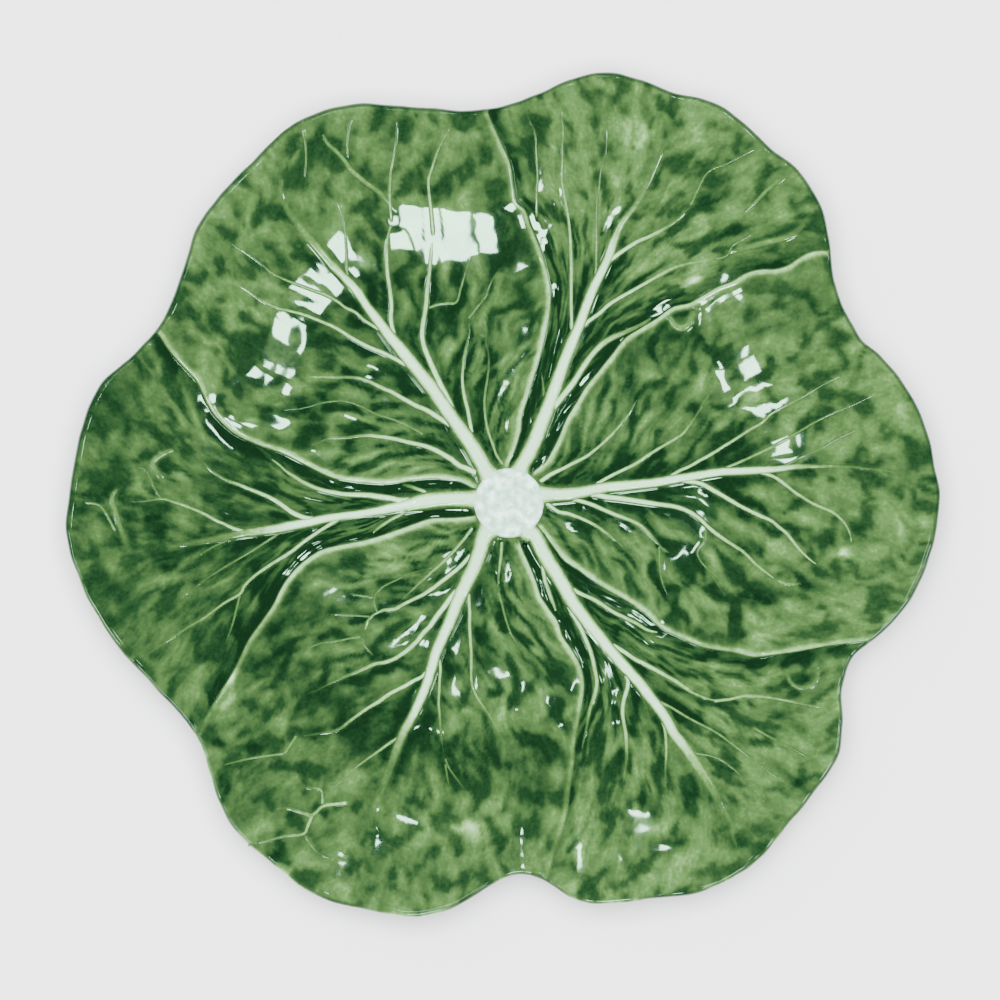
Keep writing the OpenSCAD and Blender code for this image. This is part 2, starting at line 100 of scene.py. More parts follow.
# Points of the seams and of the midribs, from the stalk outwards, in the leaves' order
SEAMS = [
    [(3.5, -13.5), (6, -19), (8, -24), (9.5, -28.5), (12, -32.5), (14.5, -36), (16, -40.5),
     (19, -45), (21.5, -49.5), (22.7, -55), (22.2, -61), (21, -67), (20, -73), (19.5, -79),
     (18.5, -86), (17.5, -93.5), (15.6, -100.5), (13.5, -106.5), (11.3, -114)],
    [(9.5, -7.5), (12.5, -11.5), (16.5, -16.8), (22, -20.8), (28.5, -25.3), (35, -29), (41, -33),
     (46.5, -38), (52.5, -41), (60, -43.9), (68, -45.1), (75, -46.6), (84, -45.4), (94, -43.7),
     (103.5, -42.3), (109, -41.5)],
    [(8, 9.7), (11, 12), (13.5, 16), (15.5, 20), (17.5, 25), (20.5, 30), (23.5, 35), (27.5, 40),
     (31.5, 45), (35.5, 50), (40, 53), (45, 56), (50, 59.5), (55, 60.7), (60, 63.5), (64, 65.7),
     (68, 67.2), (72, 69.5), (76, 70.6), (81, 70.8), (85, 72), (88, 74), (91, 75.6), (94, 76.2),
     (98, 76)],
    [(-0.3, 11.5), (1.5, 16), (3.2, 21.5), (3.8, 26.5), (5.2, 31), (7, 37), (8.8, 43), (10.6, 50),
     (12, 57), (12.6, 64), (11.3, 71), (9, 78), (6.3, 84.5), (4.7, 89), (2.2, 91.5), (1.2, 97),
     (0.2, 103), (-2.5, 109), (-5, 114.5), (-7.2, 119.7)],
    [(-10.5, 4.5), (-14, 6.3), (-20, 7.4), (-28, 7.2), (-36, 6), (-44, 6.3), (-52, 7.4),
     (-57, 9.3), (-62, 11.8), (-69, 15.3), (-75.5, 17.6), (-83, 21), (-88, 25.3), (-91.5, 30.2),
     (-94.5, 36.8), (-98.5, 41.3), (-103, 46.5), (-107.2, 53)],
    [(-10.8, -4.2), (-16, -4.7), (-23, -4.9), (-29, -6.7), (-36, -9.2), (-43, -11.4), (-50, -12.8),
     (-57, -14.5), (-62.5, -18), (-66.3, -21.8), (-69.2, -26), (-71.6, -31), (-75, -36),
     (-79, -41.8), (-81.5, -47), (-84, -52), (-87.5, -57.5), (-91, -63.5), (-94.3, -70)],
]
MIDRIBS = [
    [(6, -9), (8, -10), (10.5, -15), (13.5, -20), (16.5, -25), (19.3, -30), (22.9, -35), (27, -40),
     (31, -45), (35.4, -50), (39.8, -55), (43.7, -60), (47.3, -65), (50.2, -70), (54, -75),
     (60, -84), (63.9, -90.8), (66.8, -96.6), (68.7, -103.4), (72.1, -109.2)],
    [(10, 2.5), (15, 2.6), (20, 2.9), (25, 3.9), (30, 4.8), (35, 5.3), (40, 5.8), (45, 6.3),
     (50, 7.2), (55, 8), (60, 8.8), (65, 9.5), (70, 9.7), (75, 9.9), (80, 10.2), (85, 10.8),
     (90, 11.1), (97, 11.1), (104, 11), (112, 10), (118.5, 8.7), (123, 7.2)],
    [(3.5, 10.5), (6.5, 16), (8.5, 20.5), (10.3, 25), (12.2, 30), (14, 35), (15.8, 40), (17.6, 45),
     (19.7, 50), (21.8, 55), (23.6, 60), (25.6, 65), (28, 70), (30.4, 75), (32, 80), (34.3, 85),
     (38.2, 90), (41.2, 95.3), (45.2, 104), (49.8, 114)],
    [(-7, 10), (-9.8, 15), (-13, 20), (-17, 25.5), (-20, 30), (-23.5, 35), (-27.5, 40),
     (-31.5, 45), (-35.6, 50), (-39.5, 55), (-43.3, 60), (-46.7, 65), (-50.5, 69), (-54, 72.5),
     (-58.2, 77.5), (-61.3, 81), (-65, 85.7), (-68, 90.2), (-69, 93.8), (-68.6, 98),
     (-68.4, 103.4)],
    [(-10.5, 1.3), (-20, 1.2), (-26, 0.5), (-31, -0.6), (-36, -1.6), (-41, -2.6), (-46, -3.3),
     (-51, -4), (-56, -4.8), (-61, -5.9), (-66, -6.8), (-71, -7.8), (-76, -8.6), (-81, -9.3),
     (-86, -10.3), (-91, -11.4), (-96, -12.3), (-101, -13), (-108, -14)],
    [(-7.5, -10), (-9, -15), (-10.9, -20), (-13.3, -25), (-15.7, -30), (-17.6, -35), (-19.8, -40),
     (-22, -45), (-23.5, -50), (-25.1, -55), (-27, -60), (-29.5, -65), (-32.2, -70), (-34.2, -75),
     (-36, -80), (-38.3, -86), (-41.2, -93), (-41, -99)],
]
# Midrib widths over the distance from the stalk's centre
MIDRIB_WIDTHS = [
    [(10, 7), (13.5, 5.7), (43, 4.5), (63, 4), (92, 3.3), (107, 2.6), (123, 1), (131, 0.6)],
    [(10, 6.4), (13.5, 5), (25, 4), (45, 3.2), (60, 3), (75, 2.7), (88, 1.8), (97, 0.9),
     (124, 0.6)],
    [(10, 6.8), (13.5, 5.6), (37, 4.5), (65, 3.5), (81, 3), (103, 1.2), (124, 0.6)],
    [(10, 7), (13.5, 5.7), (27, 5), (55, 4.5), (75, 3), (100, 2.6), (116, 1.3), (124, 0.6)],
    [(10, 6.8), (13.5, 5.7), (25, 5.5), (33, 3.8), (40, 2.8), (48, 2.5), (58, 3), (70, 3.3),
     (80, 2.6), (88, 2.3), (95, 1.5), (103, 0.8), (109, 0.6)],
    [(10, 7), (13.5, 5.7), (25, 5), (50, 3.8), (61, 3.4), (79, 3), (91, 2.3), (103, 1.6),
     (108, 1)],
]
# Side veins: width at the root, width at the tip, paleness lost at the tip, and the points
VEINS_LOWER_RIGHT = [
    (1.6, 1.3, 0.05, [(17, -23), (19.5, -26.3), (22.5, -28), (25.6, -29.3), (28.6, -31.1),
     (32.1, -33.4), (35.7, -35.1), (39.2, -36.9), (42.2, -38.7), (47, -39.8)]),
    (1.6, 1.1, 0.1, [(34.5, -45), (38.2, -47.5), (41.2, -49), (44.2, -50.6), (47.8, -52.6),
     (51.3, -54.6), (54.8, -57.1), (57.9, -58.6), (60.9, -59.7), (64.2, -60.2)]),
    (1.1, 0.7, 0.25, [(62, -60.2), (67, -59.6), (72.6, -58.5), (81.3, -59.4), (89, -60.9),
     (97, -62.3)]),
    (1, 0.6, 0.4, [(44, -59), (45.8, -60.4), (49.3, -62.2), (55.2, -65.7), (62.9, -69.7),
     (70.7, -75.4), (78.4, -81.2), (84, -85), (91, -88.5)]),
    (0.8, 0.6, 0.4, [(55, -74.5), (57, -76), (62.9, -77.3), (68.7, -81.2), (74.5, -87),
     (79.4, -92.8)]),
    (0.8, 0.6, 0.4, [(74, -68), (80, -71.5), (85, -74), (92, -77.5)]),
    (1.5, 1.3, 0.08, [(10.7, -22.5), (11.9, -26.3), (12.9, -29.3), (13.9, -31.8), (14.7, -34.4)]),
    (1.8, 1, 0.15, [(17.3, -29.5), (19.5, -33.9), (21, -36.4), (22.5, -39.5), (24, -43),
     (25.3, -46.6), (26, -50.1), (26.8, -54.5), (26, -58.7), (24.8, -62.2), (24, -66.2),
     (23.3, -69.8), (22.5, -73.3), (22, -77.3)]),
    (1.7, 0.9, 0.2, [(35, -50.5), (36.3, -55), (35, -60), (34.6, -64), (35.5, -70), (35.8, -75),
     (35.5, -80), (34.3, -87)]),
    (1.3, 0.6, 0.3, [(46.5, -66), (47.4, -69), (47.8, -74.5), (47.5, -82), (47.5, -88)]),
]
VEINS_RIGHT = [
    (1.5, 0.6, 0.25, [(9.4, 6.4), (12.4, 8.5), (15.5, 10), (19, 11.8), (22, 13.3), (24.5, 14.8),
     (29.6, 19.1), (34.6, 24.6), (38.7, 30.7), (40.2, 33.2)]),
    (1.4, 0.7, 0.25, [(28, 6.5), (31.6, 8.5), (35.1, 10.2), (38.7, 12), (41.7, 14), (44.7, 16),
     (50.8, 19.6), (53.3, 21.4), (56.4, 25.7), (59.9, 31.7), (63.9, 36.8)]),
    (1.3, 0.6, 0.3, [(51.8, 9.7), (54.8, 11), (57.9, 12.8), (61.9, 15), (65.9, 17.6), (70, 20.1),
     (73.5, 22.4), (77, 24.4), (80, 27.2), (88, 31.5), (94.2, 35.3), (100.8, 38.8),
     (103.3, 40.8)]),
    (1, 0.6, 0.3, [(67.5, 11.3), (71.5, 13), (75, 14.6), (78.6, 16.3), (85.6, 20.1), (92.2, 24.1),
     (98.2, 27.2), (105.3, 30.2), (113.9, 34.5)]),
    (0.8, 0.6, 0.3, [(86, 12.4), (88.1, 13.5), (94.2, 16.3), (99.7, 19.6), (105.3, 22.1),
     (111.3, 23.6)]),
    (2.2, 0.9, 0.1, [(25.5, 2.7), (29.6, 1.9), (33.6, 1.4), (37.7, 0.8), (41.7, 0.2), (45.7, -0.4),
     (49.3, -0.9), (52.3, -1.6), (55.3, -2.9), (57.9, -4.6), (59.9, -6.6), (62.4, -8.8),
     (64.9, -10.6), (68, -12.7), (70.5, -14.2), (73, -16.5), (75.5, -19), (83.2, -25)]),
    (1, 0.6, 0.2, [(81.5, -23.6), (84, -24.4), (87, -24.6), (90, -24)]),
    (0.8, 0.6, 0.3, [(60, -7.5), (59.7, -11), (57.5, -14.5), (58, -17), (61, -21), (65, -27),
     (67, -30)]),
    (1.8, 0.9, 0.15, [(21.5, 0.7), (25.5, -0.6), (29.6, -2.4), (33.6, -4), (37.2, -5.4),
     (40.2, -6.9), (42.7, -9.4), (45.2, -12), (47.5, -14.5), (50.8, -15.7)]),
    (0.8, 0.6, 0.35, [(45.8, -13), (46, -20), (47, -25), (49.5, -30)]),
    (1.6, 0.8, 0.15, [(14.5, -2.4), (17.5, -3.1), (20.5, -4.1), (23.5, -5.4), (26, -6.7),
     (28.6, -8.4), (31.1, -10.2), (36, -14.5)]),
    (1.8, 0.9, 0.05, [(55.4, 6.5), (58.8, 5.8), (62, 4), (66, 1.7), (70, -0.7), (73.5, -2.5),
     (76.6, -4), (79.6, -5.3), (82.1, -7.3), (84.7, -9.6), (88.2, -14.1), (92.4, -18),
     (95.7, -19.4)]),
    (1.3, 0.8, 0.1, [(78.1, 8.9), (81.1, 7.7), (84.2, 5.4), (86.7, 3.4), (89.7, 1.4), (92.7, -0.4),
     (95.8, -1.7), (98.8, -3.2), (101.3, -5.5), (102.8, -7.8), (103.6, -10.3), (104.1, -14)]),
]
VEINS_TOP = [
    (0.9, 0.7, 0.3, [(10.6, 33.3), (10.4, 36.2), (9.9, 39.3), (9.9, 41.7)]),
    (1.3, 0.6, 0.25, [(19.3, 51), (19, 58.5), (19, 68.5), (18.9, 73.6), (18.7, 78.6), (18.5, 82.7),
     (18, 86.7), (16.7, 93.8), (16, 99), (16.2, 106), (16.2, 114), (15.5, 124)]),
    (0.8, 0.6, 0.3, [(18, 87.5), (16.5, 90.2), (15, 92.7), (14, 94.3)]),
    (0.9, 0.6, 0.25, [(8.4, 86.7), (8.4, 95), (8.7, 99), (8.4, 104), (8.2, 108), (7.9, 112),
     (6.9, 114.5), (5.4, 117.5), (3.9, 119.5)]),
    (0.9, 0.6, 0.35, [(26.3, 69), (26.6, 76), (26.6, 86), (26.8, 91.3), (27.3, 95.8), (27.8, 99.8),
     (28.6, 103.4), (29.4, 107), (29.5, 117)]),
    (1.7, 0.8, 0.2, [(31, 74), (35.1, 77), (39.2, 79.5), (42.7, 81), (46.3, 82.8), (49.3, 84.6),
     (51.8, 86.7), (55.9, 90.7)]),
    (0.8, 0.6, 0.4, [(55, 90), (59.9, 99.8), (66, 102.8), (70, 104.9), (76.6, 108.4)]),
    (1.6, 0.8, 0.15, [(23.8, 55), (27.6, 57.8), (30.6, 60.5), (34.6, 63), (38.2, 65), (41.7, 67),
     (45.3, 69), (49.3, 71.1), (52.8, 72.3), (56.9, 73.1), (63.4, 74.1)]),
    (0.8, 0.6, 0.4, [(62, 73.8), (66, 75), (68, 78.2), (70.5, 79.7), (75, 82.2)]),
    (2.4, 1.8, 0.12, [(12, 27.5), (15.5, 31.5), (19.5, 36.5), (23, 42), (26.5, 46.5), (30.5, 49.8),
     (35, 51.8), (40, 54.2), (45, 57.2)]),
]
VEINS_UPPER_LEFT = [
    (1, 0.7, 0.25, [(-1.7, 11.5), (-3.7, 14.5), (-5, 18), (-6.2, 21.6), (-7, 25), (-7.5, 30),
     (-7.2, 34), (-6.3, 40), (-6.2, 45), (-7.2, 51), (-5, 53)]),
    (0.7, 0.5, 0.3, [(-7.2, 50.6), (-10, 52)]),
    (1.5, 0.8, 0.15, [(-11.8, 24), (-12.5, 28), (-13.5, 32), (-14.2, 37), (-14, 41), (-13.5, 45.5),
     (-12.5, 50), (-12, 52.4), (-12.5, 56.5)]),
    (0.8, 0.6, 0.3, [(-12.5, 56), (-9.8, 59.5), (-7, 63), (-5.5, 67), (-1.5, 73)]),
    (2.2, 1.3, 0.08, [(-17, 28), (-18.8, 32), (-20.8, 36), (-22.8, 40.3), (-24.6, 44.3),
     (-25.9, 47.8), (-26.5, 51.4), (-26.1, 55), (-25.3, 60), (-24.8, 66), (-24.2, 70), (-23.8, 75),
     (-23, 82)]),
    (1.2, 0.7, 0.3, [(-23, 81), (-23.6, 88), (-24.5, 97), (-23.5, 101), (-21.5, 107), (-19.5, 111),
     (-17, 115)]),
    (0.9, 0.7, 0.2, [(-24.7, 59.3), (-22, 60.3), (-19, 60.8), (-16, 61.2), (-14.5, 66),
     (-12.5, 72), (-10.5, 77)]),
    (1.7, 1.1, 0.1, [(-34, 48), (-35.2, 52), (-36, 56), (-35.8, 60), (-36.3, 65), (-37, 70),
     (-37.2, 75), (-37, 80), (-35.5, 86)]),
    (1, 0.8, 0.25, [(-35.6, 85), (-36.2, 92), (-36, 99), (-35.3, 103), (-34.5, 108), (-34, 113),
     (-33.5, 118)]),
    (1, 0.6, 0.25, [(-48.5, 65), (-49.2, 70), (-49.4, 77), (-50, 85), (-50.7, 88), (-52.2, 91.5),
     (-54.2, 94.3)]),
    (1.2, 0.6, 0.3, [(-43.7, 55.4), (-46.7, 58), (-49.8, 59.5), (-52.2, 61.3), (-55.7, 63.2),
     (-59.3, 64.5), (-64.8, 66.5), (-68.5, 68), (-72, 69.8), (-75.5, 72.8), (-79.5, 75.7),
     (-83.5, 78.2), (-88, 80.7)]),
    (1.6, 0.6, 0.25, [(-34.5, 43.8), (-38, 45.6), (-41.5, 47), (-45, 48.7), (-48.1, 50.4),
     (-51.2, 52.4), (-54.2, 54), (-57.2, 55.2), (-60.3, 56.5), (-63.3, 57.5), (-67.3, 58.5),
     (-69.8, 59), (-73.4, 60.5), (-76.4, 62.4), (-79.4, 64.5), (-83, 66.5), (-90, 69)]),
    (2, 0.8, 0.15, [(-20.8, 25.6), (-24.9, 28.2), (-28.4, 29.7), (-32, 31.7), (-35.5, 33.7),
     (-39, 35.2), (-42.6, 37), (-45.6, 38), (-49.1, 38.3), (-57.2, 38.3), (-63.3, 38.8)]),
    (0.8, 0.6, 0.3, [(-26, 20.8), (-28, 22), (-33.5, 24.7), (-37, 26), (-41, 27.3), (-44.6, 29.2),
     (-50, 31), (-56, 30.6), (-63, 28.8), (-71, 28)]),
    (2.1, 0.7, 0.2, [(-9.7, 9), (-12.8, 10.5), (-15.3, 11.5), (-17.8, 13.5), (-20.3, 15),
     (-22.9, 16.3), (-25.4, 17.3), (-28.4, 18), (-32, 18.8), (-36, 19.8), (-40, 20.3),
     (-43.6, 20.6), (-47.6, 20.1), (-51.2, 19.8), (-55.2, 19.6), (-58.7, 18), (-63.3, 16.8)]),
]
VEINS_LEFT = [
    (2.4, 0.9, 0.1, [(-30, 0.8), (-33, 0.7), (-36, 1.4), (-39.5, 1.9), (-43, 2.4), (-50.2, 2.7),
     (-53.2, 3.2), (-57.2, 4), (-60.3, 5.2), (-62.8, 6.4), (-65.3, 8), (-67.9, 9.7), (-70.4, 12),
     (-74.4, 14.8)]),
    (1.5, 1.2, 0.15, [(-24, 2.4), (-26, 3.5), (-30, 5), (-34, 6)]),
    (2, 0.7, 0.2, [(-61, -4.8), (-65.3, -3.3), (-67.9, -1.6), (-70.4, 0.2), (-73.4, 1.9),
     (-76.4, 3.2), (-79.4, 4.4), (-82.5, 5.7), (-85.5, 6.7), (-88, 8.2), (-90.5, 10), (-92.6, 12),
     (-94.6, 14), (-96.9, 16.1)]),
    (1.3, 0.6, 0.2, [(-81, -8.5), (-84, -7.7), (-86.5, -6.4), (-89, -5.4), (-91.5, -3.9),
     (-94.1, -2.6), (-96.6, -1.6), (-99.1, -0.6), (-101.6, 0.2), (-105.2, 1.2), (-110.7, 0.5),
     (-117.3, 0.3)]),
    (0.7, 0.6, 0.25, [(-105.6, 1), (-107.7, 5), (-108.7, 7.5), (-109.7, 9.5), (-111.2, 10.5),
     (-116.8, 11.3)]),
    (0.9, 0.7, 0.1, [(-119.3, -8.7), (-121.8, -3.7), (-123.3, -1.6), (-124.8, -0.4), (-130, 0.3)]),
    (1.2, 1, 0.1, [(-33, -3.5), (-36, -5.1), (-38.5, -6.7), (-41, -8.7), (-42.8, -9.9)]),
    (1.4, 0.6, 0.3, [(-56.6, -7.8), (-59.8, -9.9), (-62.3, -11.7), (-67, -15.3), (-72, -18.4),
     (-76.9, -21.8), (-80.3, -25.1), (-81.7, -27.6), (-86.6, -30.5), (-92.4, -34.8), (-99, -38.7),
     (-106, -43.5), (-113.6, -48.8)]),
    (0.8, 0.6, 0.3, [(-81.7, -27.6), (-82.7, -32), (-84.2, -37.7), (-86.6, -44.5)]),
    (0.8, 0.6, 0.35, [(-72, -10.5), (-78, -14.5), (-84.6, -18.4), (-91.4, -22.7), (-97.2, -27),
     (-103, -31)]),
    (0.8, 0.6, 0.4, [(-87, -12), (-90.4, -13.6), (-96, -17)]),
]
VEINS_LOWER_LEFT = [
    (1.1, 0.8, 0.2, [(-11, -7.5), (-14.5, -12), (-19, -17), (-24, -21.5), (-29.5, -26.5),
     (-35, -32)]),
    (1.8, 0.9, 0.1, [(-14.5, -19), (-17.8, -21.8), (-20.3, -23.8), (-22.9, -25.8), (-25.9, -27.8),
     (-28.9, -29.3), (-32, -30.8), (-35, -32.4), (-38, -32.6), (-40, -33.4), (-41.6, -34.4),
     (-43.1, -35.9), (-43.6, -37.9), (-44.8, -40.7)]),
    (0.7, 0.6, 0.2, [(-40, -33.5), (-41, -30.5), (-41, -28.5), (-40, -27), (-38, -25.3),
     (-35, -23.8), (-32, -22.3), (-28.4, -21), (-21.3, -19.3)]),
    (0.7, 0.6, 0.2, [(-41, -28.8), (-44.6, -28.3), (-50, -27.3)]),
    (0.7, 0.6, 0.2, [(-42, -34.8), (-44, -34.5), (-50, -34), (-56, -33.9)]),
    (0.8, 0.6, 0.2, [(-44.8, -40.7), (-48.6, -41.3), (-52.2, -42), (-56.2, -42.5), (-59.3, -43.3),
     (-61.8, -44.5), (-64.8, -46.5)]),
    (0.7, 0.6, 0.25, [(-44.5, -41), (-44, -43), (-42.6, -45), (-40.5, -47.5)]),
    (2.2, 0.7, 0.25, [(-17, -28), (-19.9, -31.9), (-21.9, -34.4), (-23.9, -37.4), (-25.9, -39.4),
     (-27.9, -42), (-29.9, -44), (-32.5, -46), (-35, -47.5), (-37.5, -48.5), (-40.5, -49),
     (-43.6, -50.3), (-46.6, -51.6), (-52.7, -54.1), (-58.7, -57.1), (-64.8, -59.1)]),
    (1.5, 0.9, 0.2, [(-26, -52.5), (-28.9, -54.1), (-31.4, -55.6), (-36.5, -58.2), (-39, -60),
     (-44.1, -63.2), (-48.6, -66.5), (-50.6, -68.1), (-53.2, -69.3), (-59.2, -70.3), (-65, -71)]),
    (0.9, 0.7, 0.12, [(-64.5, -70.6), (-67, -74.5), (-68.5, -76), (-73, -76.6), (-78.8, -77.5),
     (-88, -79.7)]),
    (1.1, 0.6, 0.3, [(-33.7, -71.3), (-36, -72.8), (-39, -75), (-44, -78.5), (-48, -81.6),
     (-51.8, -85), (-55.6, -88)]),
    (1.2, 1, 0.6, [(-49, -91), (-54, -91.5), (-56.5, -92), (-59.5, -94.5), (-62, -94),
     (-67, -92.5), (-72.5, -93)]),
    (1.1, 0.9, 0.6, [(-59.5, -94.5), (-61, -98), (-62.3, -100.3), (-68, -101), (-75, -102.5),
     (-79, -103.7)]),
    (0.7, 0.6, 0.3, [(-62, -100.5), (-60, -103.5), (-57, -106.5), (-52, -108)]),
    (1, 0.8, 0.6, [(-56.5, -91.5), (-57, -87), (-60, -86.5), (-64, -86)]),
    (1.1, 0.8, 0.15, [(-2.2, -11.7), (-2.4, -15.7), (-2.9, -19.8), (-3.3, -23.8), (-3.4, -27.4)]),
    (0.8, 0.6, 0.3, [(-3.4, -27), (-2.5, -29.5), (-1.2, -34.5), (0.5, -39.5), (3.5, -44.5),
     (7, -50)]),
    (1.3, 0.7, 0.25, [(-12.3, -27), (-12, -33.4), (-12, -37.4), (-11.8, -41.5), (-11.5, -46),
     (-11.5, -53.1), (-11, -56.2), (-9.7, -59.2), (-7.7, -62.2), (-5.7, -65.2), (-3, -70),
     (0, -77)]),
    (1.2, 0.7, 0.25, [(-21.5, -46), (-20.9, -50.1), (-21.1, -53.6), (-21.4, -60.7), (-21.1, -64.2),
     (-20.6, -71.3), (-19.5, -78)]),
    (0.7, 0.6, 0.35, [(-19.5, -77.5), (-18, -81), (-15, -85), (-13, -88)]),
    (0.7, 0.6, 0.35, [(-19.4, -79), (-18.8, -83), (-18, -87)]),
]
VEINS = [
    VEINS_LOWER_RIGHT, VEINS_RIGHT, VEINS_TOP, VEINS_UPPER_LEFT, VEINS_LEFT, VEINS_LOWER_LEFT,
]
RIB_NODES = [
    "ribs_lower_right", "ribs_right", "ribs_top", "ribs_upper_left", "ribs_left",
    "ribs_lower_left",
]

# Short curls and folds that stand free of the veins: leaf, width, tone and points
CURLS = [
    (LEFT, 2, 0.27, [(-100.6, 16), (-103, 15.6), (-106.2, 14), (-108, 12), (-107.2, 10),
     (-105.7, 8), (-104.7, 6)]),
    (LEFT, 1.8, 0.27, [(-117.8, 4.9), (-119.8, 2.9), (-120.3, 0.4), (-119.3, -2.6), (-118.3, -6.2),
     (-117.3, -8.7), (-116.3, -11.7), (-114.8, -13.2)]),
    (UPPER_LEFT, 1.5, 0.22, [(-57, 113), (-55, 109), (-52.2, 106.4), (-49.6, 103.4), (-48, 101),
     (-46, 99.3), (-43, 96.8), (-39.5, 94.3), (-37, 91.7), (-35, 89.2), (-33, 87)]),
    (TOP, 1.3, 0.27, [(70.3, 87.5), (74.5, 91), (78, 94.6), (81, 97), (84, 98.8), (85.6, 99.3)]),
    (TOP, 2, 0.26, [(66, 75.5), (72, 77.3), (78, 79), (84.5, 80.6), (88, 83), (90.5, 86)]),
    (RIGHT, 2.4, 0.24, [(47.5, 57.5), (49.3, 55.6), (50.5, 53.9), (52.8, 53.2), (54.8, 54.6),
     (55.6, 57), (56.5, 59.6)]),
    (LOWER_RIGHT, 1.5, 0.3, [(84, -50), (85, -54), (88.5, -56.2), (92.3, -54.8), (93.4, -51),
     (91.6, -47.8)]),
    (UPPER_LEFT, 0.9, 0.26, [(-48.7, 103), (-49, 108.5), (-48.5, 113), (-47.5, 118)]),
    (UPPER_LEFT, 0.8, 0.32, [(-62, 97), (-61.5, 106), (-62.5, 116)]),
]
# Glaze along each seam: place along it, paleness of the upper edge, darkness of the lower leaf
# beside it, partly pooled glaze and partly painted shade under the upper leaf's edge, and how wide
# that darkness is
SEAM_TONES = [
    [(0, 0.4, 0.35, 2.2), (0.25, 0.45, 0.4, 3), (0.5, 0.3, 0.25, 2.5), (0.75, 0.22, 0.15, 2),
     (1, 0.2, 0.1, 2)],
    [(0, 0.4, 0.3, 2), (0.3, 0.4, 0.35, 3.5), (0.6, 0.35, 0.35, 3.5), (0.85, 0.35, 0.3, 3),
     (1, 0.3, 0.25, 2.5)],
    [(0, 0.4, 0.4, 2.5), (0.3, 0.42, 0.4, 3.5), (0.5, 0.42, 0.4, 4), (0.8, 0.38, 0.42, 4.5),
     (1, 0.38, 0.42, 5)],
    [(0, 0.4, 0.35, 2), (0.3, 0.42, 0.35, 3.5), (0.6, 0.36, 0.2, 3), (0.8, 0.3, 0.3, 3.5),
     (1, 0.28, 0.4, 4)],
    [(0, 0.4, 0.4, 2), (0.3, 0.42, 0.42, 3.5), (0.6, 0.38, 0.42, 4.5), (0.85, 0.32, 0.35, 4),
     (1, 0.3, 0.25, 3)],
    [(0, 0.4, 0.4, 2), (0.3, 0.42, 0.42, 3), (0.5, 0.42, 0.42, 3.5), (0.68, 0.36, 0.4, 4),
     (0.82, 0.24, 0.32, 4), (1, 0.12, 0.2, 3)],
]
# Pools of dark glaze on each leaf, and pale worn places where the strength is below zero: x, y,
# half length, half width, bearing of the length and strength
POOLS = {
    LOWER_RIGHT: [(58.5, -66.5, 5.5, 1.4, -30, 0.3), (70.5, -72, 3, 1.2, -28, 0.3),
        (85, -83, 8.5, 1.3, -35, 0.3), (67, -80, 6, 1.3, -30, 0.28),
        (64, -90.5, 2.5, 1, -35, 0.28), (55, -90, 3, 4, 0, 0.22), (49, -103, 6.5, 2, 0, 0.25),
        (57, -112.5, 3, 1.5, 0, 0.25), (35.5, -109, 4.5, 1.2, -70, 0.28),
        (41, -90.5, 3, 1.2, -68, 0.25), (83, -64.8, 3, 1, 0, 0.25), (88, -68, 3, 1.5, -30, 0.25),
        (80, -100, 3, 1.2, -45, 0.25), (50, -60.5, 4.5, 2, -45, 0.3), (38, -61, 1.8, 3.5, 0, 0.3),
        (90, -53, 2, 2, 0, 0.3), (62, -47.5, 5, 1.2, -5, 0.25), (84, -48.5, 9, 1.2, 3, 0.25)],
    RIGHT: [(98.5, -9.5, 1.2, 3.5, 0, 0.35), (107, -10, 1.6, 2.8, 0, 0.3),
        (90, -8, 2.8, 1, 0, 0.3), (92.5, -25, 5.5, 1.5, -20, 0.3), (75, -30, 4, 2.4, 0, 0.3),
        (75, -13, 4.5, 1.3, -30, 0.3), (85, -20, 3.5, 1.4, -30, 0.28),
        (105.5, -4.5, 1.6, 1.6, 0, -0.25), (101.5, -15, 1.8, 1.6, 0, -0.25),
        (89, 56, 7, 3, 40, 0.22), (74, 52, 5, 2.4, 20, 0.22), (52, 50, 10, 3.5, 20, 0.22),
        (37, 42, 3, 5, 0, 0.25)],
    TOP: [(50, 64, 3.5, 1.6, 20, -0.22), (57, 67.5, 3, 1.4, 20, -0.22), (60, 92, 5, 3, 0, 0.22),
        (70, 83, 8, 2.2, 25, 0.22), (40, 112, 7, 4, 60, -0.14)],
    LEFT: [(-108, -4.5, 4, 0.9, 10, 0.35), (-105, -8, 4, 0.9, 10, 0.35),
        (-108, -10.5, 4, 0.8, 12, 0.3), (-128.5, -3, 3, 9, 0, 0.25),
        (-104, -19, 4.5, 1.6, 12, 0.3), (-85, -17, 2.5, 1.2, 12, 0.25),
        (-78, -18, 3.2, 1.6, 20, 0.3), (-106, -24, 4, 1.8, 12, -0.22),
        (-97, -33, 3.5, 1.5, 20, -0.22), (-118, -18, 3, 2, 10, -0.22), (-75, -28, 2, 5, 20, 0.25),
        (-80.5, -41, 2.2, 6, 20, 0.25), (-87, -55, 2, 7, 25, 0.25)],
    LOWER_LEFT: [(-80, -95, 6, 3, 45, 0.3), (-86, -85, 3, 2.5, 60, 0.25),
        (-70, -105.5, 4, 2, 40, 0.25), (-55, -100, 3, 1.5, 20, 0.25), (-88, -73, 2.5, 1.5, 0, 0.3),
        (-80, -74, 4.5, 1.2, 0, 0.3), (-60, -65, 1.8, 2.2, 0, 0.25), (-65, -36, 8, 3.2, 15, 0.35),
        (-71, -47.5, 7, 2.2, 20, 0.33), (-84, -53, 3, 1.6, 60, -0.16),
        (-86.5, -62, 5, 2.2, 65, -0.12), (-20, -99, 15, 4, 5, -0.16)],
}
